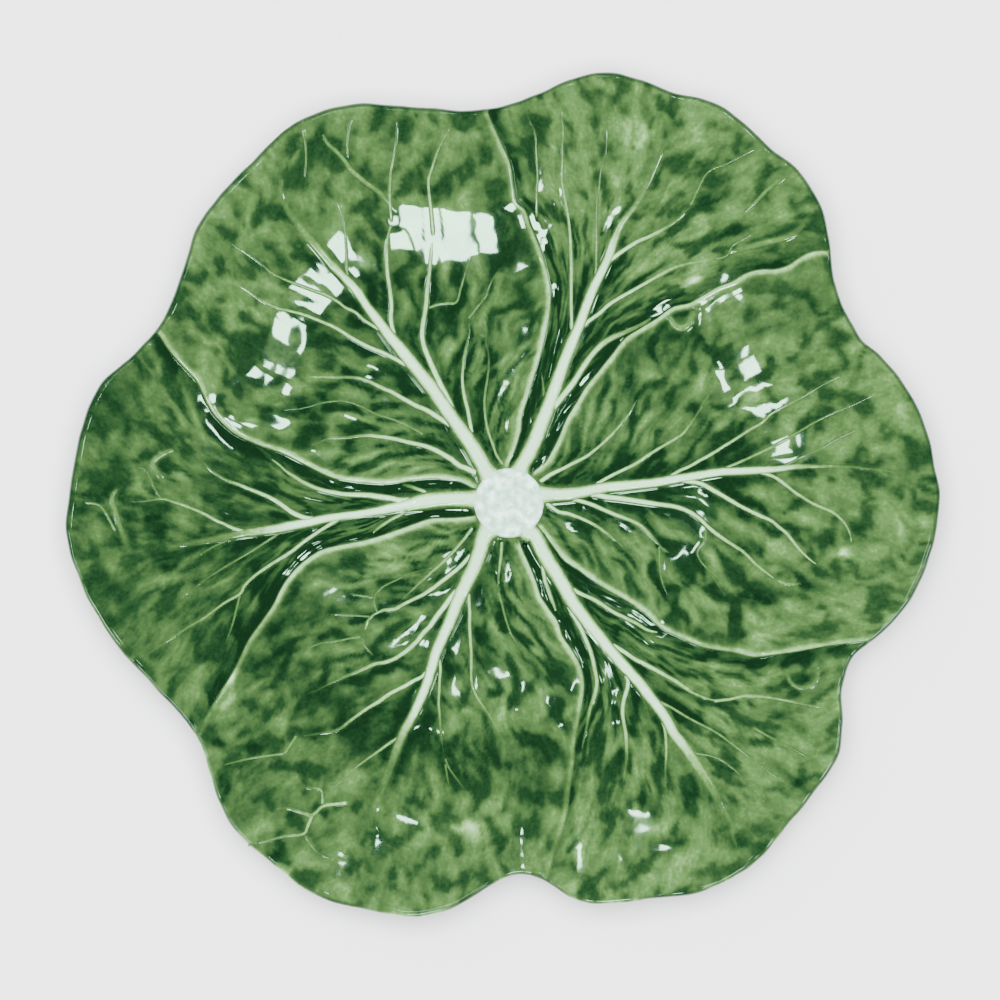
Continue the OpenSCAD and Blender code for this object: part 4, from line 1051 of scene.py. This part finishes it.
class RingMesh:
    """Rings of points joined one after another. Each point has a key that grows round the
    ring, so rings of different counts can be joined too."""

    def __init__(self):
        self.points, self.tones, self.flows, self.faces = [], [], [], []
        self.count = 0
        self.first = self.last = None

    def add_points(self, points, tones, flows):
        ids = np.arange(self.count, self.count + len(points))
        self.points.append(points)
        self.tones.append(tones)
        self.flows.append(flows)
        self.count += len(points)
        return ids

    def add_ring(self, x, y, z, tones, flows, keys):
        points = np.column_stack([x, y, np.broadcast_to(z, x.shape)])
        ring = (self.add_points(points, tones, flows), keys)
        if self.last is None:
            self.first = ring
        else:
            self.join(*self.last, *ring)
        self.last = ring

    def join(self, inner, inner_keys, outer, outer_keys):
        """Faces between the last two rings, four-sided ones begun so that they fold along the
        shorter diagonal."""
        if len(inner) == len(outer):
            quads = np.column_stack([inner, outer, np.roll(outer, -1), np.roll(inner, -1)])
            near, far = self.points[-2], self.points[-1]
            long_way = np.linalg.norm(near - np.roll(far, -1, axis=0), axis=1)
            short_way = np.linalg.norm(far - np.roll(near, -1, axis=0), axis=1)
            turned = long_way > short_way
            quads[turned] = np.roll(quads[turned], 1, axis=1)
            self.faces += quads.tolist()
            return
        i = j = 0
        while i < len(inner) or j < len(outer):
            next_inner = inner_keys[i + 1] if i + 1 < len(inner) else math.inf
            next_outer = outer_keys[j + 1] if j + 1 < len(outer) else math.inf
            a, b = int(inner[i % len(inner)]), int(outer[j % len(outer)])
            if j >= len(outer) or (i < len(inner) and next_inner < next_outer):
                self.faces.append([a, b, int(inner[(i + 1) % len(inner)])])
                i += 1
            else:
                self.faces.append([a, b, int(outer[(j + 1) % len(outer)])])
                j += 1

    def close(self, ids, point, tone, upwards):
        """A fan from a middle point to a ring."""
        middle = self.add_points(np.array([point], float), np.array([tone]), np.zeros((1, 3)))
        ahead = np.roll(ids, -1)
        pair = [ids, ahead] if upwards else [ahead, ids]
        self.faces += np.column_stack([np.repeat(middle, len(ids))] + pair).tolist()

    def close_both(self, first_point, last_point, first_tone, last_tone):
        """Fans over the last ring, facing down, and the first one, facing up."""
        self.close(self.last[0], last_point, last_tone, False)
        self.close(self.first[0], first_point, first_tone, True)

    def arrays(self):
        return np.vstack(self.points), self.faces, np.concatenate(self.tones), np.vstack(self.flows)


# How the mesh of the dish is laid out. Rings near the stalk have every fourth or second column
RINGS = 176
HALF_COLUMNS = 64
COLUMN_EASE = 1.35
SEAM_GAP = 0.65
COARSE_BELOW, COARSE_STEP = 0.1, 4
MIDDLE_BELOW, MIDDLE_STEP = 0.27, 2
LIP_STEPS = 6
UNDER_STEPS = 16
UNDER_RADII = [FOOT_IN_R, 52, 38, 24, 10]

# The lip: bearings where its painted highlight, a white line standing in for the light its lower
# edge catches, begins and ceases, and its tones: a dark one, partly pooled glaze and partly painted
# shade, and the highlight's white
LIP_HIGHLIGHT_FROM, LIP_HIGHLIGHT_TO, LIP_HIGHLIGHT_TO_RUN = (176, 16), 322, 15
LIP_HIGHLIGHT_PATCHINESS = (0.75, 1.6)
LIP_HIGHLIGHT_NOISE = (9, 1, 71)
LIP_POOL_AND_SHADE_TONE, LIP_HIGHLIGHT_TONE = 0.9, 0
LIP_TONE_POWER = 1.5
# The underside: tone and its unevenness, and where the wall begins to thin towards the lip
UNDER_TONE = 0.5
UNDER_UNEVENNESS = 0.12
UNDER_NOISE = (9, 9, 31)
THINNING = (0.6, 0.4)
WELL_TONE = 0.3


def ring_columns(step):
    """Leaf, position across it and key of each column of a ring."""
    leaves, sides, keys = [], [], []
    offsets = 1 - (np.arange(0, HALF_COLUMNS + 1, step) / HALF_COLUMNS) ** COLUMN_EASE
    for leaf in range(LEAF_COUNT):
        side = np.concatenate([-offsets, offsets[-2::-1]])
        leaves.append(np.full(len(side), leaf))
        sides.append(side)
        keys.append(leaf * (2 * HALF_COLUMNS + 1) + step * np.arange(len(side)))
    return np.concatenate(leaves), np.concatenate(sides), np.concatenate(keys)


def ring_plan(t, leaf, side):
    """Where a ring's columns lie, from the stalk's centre."""
    turn = np.zeros_like(side)
    for i in range(LEAF_COUNT):
        here = leaf == i
        level = np.full(here.sum(), t)
        middle = smooth_lookup(RIB_TABLES[i], level)
        first, second = seam_turn(i, level), seam_turn(i + 1, level)
        if not LEAF_ON_TOP[i]:
            radius = mix(STALK_R, rim_radius(first) - LIP_ROUND, t)
            gap = np.degrees(SEAM_GAP / radius)
            first, second = first + gap, second - gap
        share = side[here]
        turn[here] = np.where(share < 0, mix(middle, first, -share), mix(middle, second, share))
    radius = mix(STALK_R, rim_radius(turn) - LIP_ROUND, t)
    return radius * np.cos(np.radians(turn)), radius * np.sin(np.radians(turn))


def flows_of(x, y, leaf):
    u, v = flow_of(x, y, leaf, held_side(x, y, leaf, held_reach(x, y)))
    return np.column_stack([u, v, np.zeros_like(u)])


def add_leaves(mesh):
    """The rings of the leaves from the stalk to the lip. Returns the last ring's leaves."""
    plans = []
    for ring in range(RINGS + 1):
        t = ring / RINGS
        step = COARSE_STEP if t < COARSE_BELOW else MIDDLE_STEP if t < MIDDLE_BELOW else 1
        leaf, side, keys = ring_columns(step)
        plans.append((leaf, keys, *ring_plan(t, leaf, side)))
    leaf, _, x, y = (np.concatenate(parts) for parts in zip(*plans))
    height, tone = lamina(x, y, leaf)
    flow = flows_of(x, y, leaf)
    start = 0
    for _, keys, ring_x, ring_y in plans:
        here = slice(start, start + len(keys))
        mesh.add_ring(ring_x, ring_y, height[here], tone[here], flow[here], keys)
        start = here.stop
    return plans[-1][0]


def add_lip(mesh, leaf):
    """Rings round the lip, from the leaves' edge to the underside."""
    x, y, high = mesh.points[-1].T
    tone, flow, keys = mesh.tones[-1], mesh.flows[-1], mesh.last[1]
    low = RIM_H - LIP_T + droop(1, held_side(x, y, leaf, np.ones_like(x)))
    bearing = np.mod(turn_of(x, y), 360)
    # Painted highlight: the lip is painted white on its lower side, where light catches it, and
    # dark elsewhere, partly pooled glaze and partly painted shade
    lit_edge = ease_over(LIP_HIGHLIGHT_FROM, bearing) * ease((LIP_HIGHLIGHT_TO - bearing) / LIP_HIGHLIGHT_TO_RUN)
    lit_edge *= ease(line(LIP_HIGHLIGHT_PATCHINESS, grain(bearing, bearing * 0, LIP_HIGHLIGHT_NOISE)))
    lip_tone = mix(LIP_POOL_AND_SHADE_TONE, LIP_HIGHLIGHT_TONE, lit_edge)
    for i in range(1, LIP_STEPS):
        turn = math.pi * i / LIP_STEPS
        spread = 1 + LIP_ROUND * math.sin(turn) / np.hypot(x, y)
        z = mix(high, low, (1 - math.cos(turn)) / 2)
        ring_tone = mix(tone, lip_tone, math.sin(turn) ** LIP_TONE_POWER)
        mesh.add_ring(x * spread, y * spread, z, ring_tone, flow, keys)


def under_heights(x, y, leaf):
    """Height of the underside: smooth from the lip to the flat round the foot ring."""
    t = held_reach(x, y)
    thickness = mix(WALL_T * WALL_SLANT, LIP_T, ease_over(THINNING, t))
    wall = bowl_height(t) + droop(t, held_side(x, y, leaf, t)) - thickness
    away = np.hypot(x + STALK_X, y + STALK_Y) - FOOT_R
    return mix(FOOT_H, wall, ease(away / HEEL_RUN))


def add_underside(mesh, edge, leaf):
    """Rings from below the lip to the foot ring and on inwards, with every second column."""
    kept = np.isin(mesh.last[1], ring_columns(MIDDLE_STEP)[2])
    x, y = edge[kept, 0] + STALK_X, edge[kept, 1] + STALK_Y
    leaf, flow, keys = leaf[kept], mesh.flows[-1][kept], mesh.last[1][kept]
    seat = FOOT_R / np.hypot(x, y)
    scales = [mix(seat, 1, 1 - i / UNDER_STEPS) for i in range(UNDER_STEPS + 1)]
    rings = [(x * scale, y * scale) for scale in scales]
    rings += [(x * seat / FOOT_R * radius, y * seat / FOOT_R * radius) for radius in UNDER_RADII]
    for from_middle_x, from_middle_y in rings:
        ring_x, ring_y = from_middle_x - STALK_X, from_middle_y - STALK_Y
        z = under_heights(ring_x, ring_y, leaf)
        tone = UNDER_TONE + UNDER_UNEVENNESS * grain(ring_x, ring_y, UNDER_NOISE)
        mesh.add_ring(ring_x, ring_y, z, tone, flow, keys)


def make_dish(material):
    """The whole glazed body: leaves, lip and underside as one closed skin."""
    mesh = RingMesh()
    leaf = add_leaves(mesh)
    edge = mesh.points[-1]
    add_lip(mesh, leaf)
    add_underside(mesh, edge, leaf)
    mesh.close_both((0, 0, WELL_H), (-STALK_X, -STALK_Y, FOOT_H), WELL_TONE, UNDER_TONE)
    mesh_piece("leaf_dish", *mesh.arrays(), material, "leaf_glaze", "plate_body")


# A rib's cross-section: distance out in half widths, share of the rise, share of the rib's tone
RIB_SECTION = np.array([
    (-1.8, -0.1, 0), (-1.2, 0.06, 0), (-0.96, 0.26, 0.2), (-0.74, 0.62, 0.8),
    (-0.4, 0.92, 1), (0, 1, 1), (0.4, 0.92, 1), (0.74, 0.62, 0.8), (0.96, 0.26, 0.2),
    (1.2, 0.06, 0), (1.8, -0.1, 0),
])
# How far a rib's base lies under its foot, how far its outermost points and its tip dip, and
# how far it dives where it runs past a seam
RIB_BURY = 0.5
RIB_FOOT_BEYOND, RIB_FOOT_DIP = 1.5, 0.07
RIB_TIP_DIP = 0.12
RIB_DIVE = 2.0
# Its tip: least length and share of the rib's length, how low the rib sinks towards it over
# which share, and where the rib melts into the leaf's tone
TIP_RUN, TIP_SHARE = 3, 0.08
SINK_TO, SINK_RUN = 0.3, 0.4
MELTING = (0.55, 0.45)


def rib_loops(rib):
    """Plan points, rises, tone shares and tones of a rib's stations."""
    path = rib.path
    place = np.linspace(0, 1, len(path))
    along = np.gradient(path, axis=0)
    across = np.column_stack([along[:, 1], -along[:, 0]]) / np.hypot(*along.T)[:, None]
    half = rib.width_at(place) / 2
    length = len(path) * PATH_STEP
    from_tip, from_root = (1 - place) * length, place * length
    tip = ease(from_tip / max(TIP_RUN, TIP_SHARE * length)) * ease(from_root / rib.root_run)
    out = RIB_SECTION[:, 0] * half[:, None]
    x = path[:, 0, None] + across[:, 0, None] * out
    y = path[:, 1, None] + across[:, 1, None] * out
    lift = rib.rise * 2 * half * tip * mix(SINK_TO, 1, ease((1 - place) / SINK_RUN))
    foot = RIB_FOOT_DIP * (np.abs(RIB_SECTION[:, 0]) > RIB_FOOT_BEYOND)
    rise = lift[:, None] * RIB_SECTION[:, 1] - foot - RIB_TIP_DIP * (1 - tip)[:, None]
    melted = rib.melt * ease_over(MELTING, place)
    share = RIB_SECTION[:, 2] * (1 - melted)[:, None]
    tone = rib.tone_at(place)[:, None] * np.ones_like(x)
    return x, y, rise, share, tone


def make_ribs(leaf, material):
    """One leaf's midrib and side veins, each a closed ridge seated in the leaf."""
    points, faces, tones, flows = [], [], [], []
    count = 0
    width = len(RIB_SECTION)
    for rib in RIBS:
        if rib.leaf != leaf:
            continue
        x, y, rise, share, tone = (grid.ravel() for grid in rib_loops(rib))
        owner = np.full(x.shape, leaf)
        height, skin_tone = lamina(x, y, owner)
        beyond = np.abs(leaf_side(x, y, owner, held_reach(x, y))) > 1
        z = np.minimum(height + rise, TOP_LIMIT) - RIB_DIVE * beyond
        top = np.column_stack([x, y, z]).reshape(-1, width, 3)
        low = top[:, [-1, 0]] - [0, 0, RIB_BURY]
        loops = np.concatenate([top, low], axis=1)
        stations, around = loops.shape[:2]
        ids = count + np.arange(stations * around).reshape(stations, around)
        ahead = np.roll(ids, -1, axis=1)
        quads = np.stack([ids[:-1], ids[1:], ahead[1:], ahead[:-1]], axis=-1)
        faces += quads.reshape(-1, 4).tolist()
        faces.append(ids[0].tolist())
        faces.append(ids[-1][::-1].tolist())
        blend = mix(skin_tone, tone, share).reshape(-1, width)
        flow = flows_of(x, y, owner).reshape(-1, width, 3)
        points.append(loops.reshape(-1, 3))
        tones.append(np.concatenate([blend, blend[:, [-1, 0]]], axis=1).ravel())
        flows.append(np.concatenate([flow, flow[:, [-1, 0]]], axis=1).reshape(-1, 3))
        count += stations * around
    arrays = (np.vstack(points), faces, np.concatenate(tones), np.vstack(flows))
    mesh_piece("glazed_" + RIB_NODES[leaf], *arrays, material, "rib_glaze", RIB_NODES[leaf])


# The stalk's face: share of its radius, and drop from its top
STALK_PROFILE = [
    (0.05, -0.26), (0.1, -0.25), (0.16, -0.25), (0.22, -0.24), (0.28, -0.23), (0.34, -0.21),
    (0.4, -0.2), (0.46, -0.18), (0.52, -0.16), (0.58, -0.13), (0.64, -0.1), (0.7, -0.08),
    (0.76, -0.06), (0.81, -0.05), (0.86, -0.07), (0.9, -0.13), (0.95, -0.28), (0.98, -0.55),
    (0.998, -0.9), (0.998, -1.6),
]
STALK_COLUMNS = 120
STALK_MIDDLE_DROP = -0.28
# How far its foot lies over the well
STALK_SEAT = 0.02
# Its uneven outline, its rough face and its tone
WOBBLE, WOBBLING, WOBBLE_RATE, WOBBLE_SEED = 0.006, (0.6, 0.3), 3, 51
ROUGH, ROUGH_NOISE = 0.05, (1.6, 1.6, 53)
GRIT, GRIT_NOISE = 0.03, (0.7, 0.7, 59)
ROUGH_SINK, ROUGH_LIMIT = 0.03, 0.02
STALK_TONE, STALK_UNEVENNESS, STALK_NOISE = 0.05, 0.05, (2.2, 2.2, 61)


def make_stalk(material):
    """The cut face of the stalk: an uneven disc with a worn, rounded edge."""
    mesh = RingMesh()
    keys = np.arange(STALK_COLUMNS)
    turn = 2 * math.pi * keys / STALK_COLUMNS
    uneven = 1 + noise(turn * WOBBLE_RATE, turn * 0, WOBBLE_SEED)
    for share, drop in STALK_PROFILE:
        wobble = 1 - WOBBLE * ease_over(WOBBLING, share) * uneven
        radius = STALK_R * share * wobble
        x, y = radius * np.cos(turn), radius * np.sin(turn)
        rough = ROUGH * grain(x, y, ROUGH_NOISE) + GRIT * grain(x, y, GRIT_NOISE)
        z = STALK_TOP + drop + np.minimum(rough - ROUGH_SINK, ROUGH_LIMIT)
        tone = STALK_TONE + STALK_UNEVENNESS * grain(x, y, STALK_NOISE)
        flow = np.column_stack([x, y, np.zeros(STALK_COLUMNS)])
        mesh.add_ring(x, y, z, tone, flow, keys)
    seat = WELL_H + STALK_SEAT
    mesh.add_ring(x, y, seat, tone, flow, keys)
    middle = (0, 0, STALK_TOP + STALK_MIDDLE_DROP)
    mesh.close_both(middle, (0, 0, seat), STALK_TONE, STALK_TONE)
    mesh_piece("stalk_face", *mesh.arrays(), material, "stalk_glaze", "stalk_disc")


# The middle of a noise, and of the ramp of colours over it
MIDDLE = 0.5


class Nodes:
    """A material's node tree, with short ways to add to it."""

    def __init__(self, name):
        self.material = bpy.data.materials.new(name)
        self.material.use_nodes = True
        self.tree = self.material.node_tree
        self.tree.nodes.clear()
        self.output = self.add("ShaderNodeOutputMaterial")

    def add(self, kind, **values):
        node = self.tree.nodes.new(kind)
        for name, value in values.items():
            setattr(node, name, value)
        return node

    def link(self, source, target):
        self.tree.links.new(source, target)

    def math(self, operation, a, b):
        node = self.add("ShaderNodeMath", operation=operation)
        for socket, value in zip(node.inputs, (a, b)):
            if isinstance(value, (int, float)):
                socket.default_value = value
            else:
                self.link(value, socket)
        return node.outputs[0]

    def times_plus(self, value, factor, more):
        """A value times a factor, and more added to it."""
        return self.math("ADD", self.math("MULTIPLY", value, factor), more)

    def place(self):
        return self.add("ShaderNodeTexCoord").outputs["Object"]

    def noise(self, vector, scale, detail, stretch=(1, 1, 1)):
        """A noise over a vector, centred on zero."""
        mapping = self.add("ShaderNodeMapping")
        mapping.inputs["Scale"].default_value = stretch
        self.link(vector, mapping.inputs["Vector"])
        texture = self.add("ShaderNodeTexNoise")
        texture.inputs["Scale"].default_value = scale
        texture.inputs["Detail"].default_value = detail
        self.link(mapping.outputs[0], texture.inputs["Vector"])
        return self.math("SUBTRACT", texture.outputs[0], MIDDLE)

    def ramp(self, factor, stops):
        node = self.add("ShaderNodeValToRGB")
        elements = node.color_ramp.elements
        while len(elements) < len(stops):
            elements.new(MIDDLE)
        for element, (position, colour) in zip(elements, stops):
            element.position = position
            element.color = (*colour, 1)
        self.link(factor, node.inputs[0])
        return node.outputs[0]

    def shader(self, colour, relief, relief_height, roughness, **constants):
        """The material, with a fine relief whose height is in metres."""
        node = self.add("ShaderNodeBsdfPrincipled")
        self.link(colour, node.inputs["Base Color"])
        node.inputs["Roughness"].default_value = roughness
        for name, value in constants.items():
            node.inputs[name.replace("_", " ")].default_value = value
        bump = self.add("ShaderNodeBump")
        bump.inputs["Strength"].default_value = 1
        bump.inputs["Distance"].default_value = relief_height
        self.link(relief, bump.inputs["Height"])
        self.link(bump.outputs[0], node.inputs["Normal"])
        self.link(node.outputs[0], self.output.inputs["Surface"])
        return self.material


# Colours over the tone of the glaze, or over the noise of the other materials, as linear light
GLAZE_COLOURS = [
    (0, (0.51, 0.81, 0.57)), (0.08, (0.29, 0.515, 0.275)), (0.16, (0.134, 0.264, 0.087)),
    (0.25, (0.059, 0.131, 0.0355)), (0.35, (0.0363, 0.0826, 0.0224)),
    (0.45, (0.027, 0.0623, 0.0176)), (0.55, (0.0194, 0.0478, 0.0136)),
    (0.65, (0.0119, 0.0356, 0.0099)), (0.76, (0.0062, 0.0251, 0.0071)),
    (0.88, (0.0028, 0.0163, 0.0042)), (1, (0.0012, 0.0103, 0.0026)),
]
STALK_COLOURS = [(0.25, (0.24, 0.4, 0.3)), (0.5, (0.4, 0.68, 0.52)), (0.75, (0.7, 0.98, 0.88))]
CLAY_COLOURS = [(0.1, (0.46, 0.36, 0.25)), (0.5, (0.66, 0.56, 0.43)), (0.9, (0.78, 0.7, 0.58))]
FLOOR_COLOURS = [(0, (0.825, 0.83, 0.835)), (1, (0.845, 0.85, 0.855))]
GLAZE_IOR = 1.5
GLAZE_TINT = (0.55, 1, 0.7, 1)
# Mottles of the glaze: how much streaks, clouds and specks vary it, and the tone from which on
# they vary it no more
STREAK_WEIGHT, CLOUD_WEIGHT, SPECK_WEIGHT = 0.3, 0.2, 0.31
FULL_MOTTLE_TONE = 0.5
# How strongly the noises vary the stalk and the clay
STALK_WEIGHT = 1.25
STAIN_WEIGHT, CLAY_WEIGHT = 0.9, 0.5


def glaze_material(name):
    """Glossy green glaze over white clay: its tone comes from the piece, with finer mottles."""
    nodes = Nodes(name)
    tone = nodes.add("ShaderNodeAttribute", attribute_name="glaze").outputs["Fac"]
    flow = nodes.add("ShaderNodeAttribute", attribute_name="flow").outputs["Vector"]
    place = nodes.place()
    streaks = nodes.noise(flow, scale=0.8, detail=4, stretch=(1, 1.3, 1))
    specks = nodes.noise(place, scale=900, detail=3)
    clouds = nodes.noise(place, scale=260, detail=3)
    held_tone = nodes.math("MINIMUM", tone, FULL_MOTTLE_TONE)
    weight = nodes.math("MULTIPLY", held_tone, 1 / FULL_MOTTLE_TONE)
    spread = nodes.math("MULTIPLY", streaks, STREAK_WEIGHT)
    spread = nodes.times_plus(clouds, CLOUD_WEIGHT, spread)
    spread = nodes.times_plus(specks, SPECK_WEIGHT, spread)
    colour = nodes.ramp(nodes.times_plus(spread, weight, tone), GLAZE_COLOURS)
    peel = nodes.noise(place, scale=300, detail=1)
    return nodes.shader(
        colour, peel, relief_height=0.00001, roughness=0.05, IOR=GLAZE_IOR,
        Specular_Tint=GLAZE_TINT
    )


def stalk_material():
    """Cool white glaze over the rough cut of the stalk."""
    nodes = Nodes("stalk_white_glaze")
    place = nodes.place()
    clouds = nodes.noise(place, scale=420, detail=4)
    colour = nodes.ramp(nodes.times_plus(clouds, STALK_WEIGHT, MIDDLE), STALK_COLOURS)
    grit = nodes.noise(place, scale=1100, detail=3)
    return nodes.shader(colour, grit, relief_height=0.00012, roughness=0.3, IOR=GLAZE_IOR)


def clay_material():
    """Bare fired clay with fine grains and faint stains."""
    nodes = Nodes("bare_fired_clay")
    place = nodes.place()
    stains = nodes.noise(place, scale=90, detail=5)
    specks = nodes.noise(place, scale=1800, detail=2)
    stained = nodes.times_plus(stains, STAIN_WEIGHT, MIDDLE)
    colour = nodes.ramp(nodes.times_plus(specks, CLAY_WEIGHT, stained), CLAY_COLOURS)
    return nodes.shader(colour, specks, relief_height=0.00015, roughness=0.85)


def floor_material():
    nodes = Nodes("pale_floor")
    cloud = nodes.noise(nodes.place(), scale=3, detail=2)
    colour = nodes.ramp(nodes.math("ADD", cloud, MIDDLE), FLOOR_COLOURS)
    return nodes.shader(colour, cloud, relief_height=0.00001, roughness=0.75)


# The studio in metres, with the camera's sensor in millimetres. The photograph is this wide at
# this height, which is near the rim's
FLOOR_HALF = 6.0
CAMERA_X, CAMERA_Y, CAMERA_H = -0.00083, -0.00169, 3.0
CAMERA_SENSOR = 36.0
CAMERA_FAR = 20
PHOTO_WIDTH, PHOTO_PLANE = 0.3028, 0.028
GLOSS_DISTANCE = 8.0
GLOSS_RADIANCE = 85
WORLD_COLOUR = (0.9, 0.95, 1, 1)
WORLD_STRENGTH = 0.25

# Soft boxes: name, bearing, elevation, distance, side and radiance
SOFT_BOXES = [
    ("key_upper_left", 130, 62, 2.4, 1.2, 4.5),
    ("overhead", 100, 88, 2.8, 1.3, 62),
]
# Bright panels that show only in the gloss: name, and the bearings and elevations that they fill
GLOSS_PANELS = [
    ("gloss_top", (-101, -92.8), (38, 46.5)), ("gloss_top_strip", (-90.5, -79), (38, 45.5)),
    ("gloss_top_left_1", (-62, -52), (46, 50)), ("gloss_top_left_2", (-41, -31), (41, 47)),
    ("gloss_left_1", (-25, -18.5), (39.7, 41.5)), ("gloss_left_2", (-15, -7.5), (39.7, 42.5)),
    ("gloss_right_1", (192, 200), (41, 43)), ("gloss_right_2", (202, 210), (40.5, 45.5)),
    ("gloss_right_3", (219, 234), (38, 41)), ("gloss_low", (82, 88.5), (59.6, 61.3)),
    ("gloss_middle", (116, 142), (77.7, 79)), ("gloss_slash", (-34, -22), (76.5, 79.5)),
    ("gloss_rib", (60, 66), (70.5, 75)),
]


def make_floor():
    half = FLOOR_HALF
    mesh = bpy.data.meshes.new("floor")
    edge = [(-half, -half, 0), (half, -half, 0), (half, half, 0), (-half, half, 0)]
    mesh.from_pydata(edge, [], [(0, 1, 2, 3)])
    mesh.materials.append(floor_material())
    floor = add_object("floor", mesh)


def make_light(name, bearing, elevation, distance, width, height, radiance, in_gloss):
    """A soft box that faces the plate, seen either in its gloss or in its even light."""
    turn, rise = math.radians(bearing), math.radians(elevation)
    towards = Vector(
        (math.cos(turn) * math.cos(rise), math.sin(turn) * math.cos(rise), math.sin(rise))
    )
    data = bpy.data.lights.new(name, "AREA")
    data.shape = "RECTANGLE"
    data.size = width
    data.size_y = height
    data.energy = radiance * math.pi * width * height
    light = add_object(name, data)
    light.location = towards * distance
    light.rotation_euler = towards.to_track_quat("Z", "Y").to_euler()
    light.visible_glossy = in_gloss
    light.visible_diffuse = not in_gloss
    light.visible_camera = False


def make_gloss_panel(name, bearings, elevations):
    bearing, elevation = sum(bearings) / 2, sum(elevations) / 2
    spread = math.radians(bearings[1] - bearings[0]) / 2
    rise = math.radians(elevations[1] - elevations[0]) / 2
    width = 2 * GLOSS_DISTANCE * math.cos(math.radians(elevation)) * math.tan(spread)
    height = 2 * GLOSS_DISTANCE * math.tan(rise)
    make_light(name, bearing, elevation, GLOSS_DISTANCE, width, height, GLOSS_RADIANCE, True)


def make_camera():
    """Straight above the plate, framed as in the photograph at the height of the rim."""
    data = bpy.data.cameras.new("camera")
    data.sensor_width = CAMERA_SENSOR
    data.lens = CAMERA_SENSOR * (CAMERA_H - PHOTO_PLANE) / PHOTO_WIDTH
    data.clip_end = CAMERA_FAR
    camera = add_object("camera", data)
    camera.location = (CAMERA_X, CAMERA_Y, CAMERA_H)
    bpy.context.scene.camera = camera


def make_world():
    world = bpy.data.worlds.new("studio")
    world.use_nodes = True
    background = world.node_tree.nodes["Background"]
    background.inputs["Color"].default_value = WORLD_COLOUR
    background.inputs["Strength"].default_value = WORLD_STRENGTH
    bpy.context.scene.world = world


leaf_glaze = glaze_material("leaf_green_glaze")
rib_glaze = glaze_material("rib_pale_glaze")
make_dish(leaf_glaze)
for leaf_index in range(LEAF_COUNT):
    make_ribs(leaf_index, rib_glaze)
make_stalk(stalk_material())
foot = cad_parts["foot_ring"]
foot.data.materials.clear()
foot.data.materials.append(clay_material())

make_floor()
make_world()
for name, bearing, elevation, distance, side, radiance in SOFT_BOXES:
    make_light(name, bearing, elevation, distance, side, side, radiance, False)
for panel in GLOSS_PANELS:
    make_gloss_panel(*panel)
make_camera()
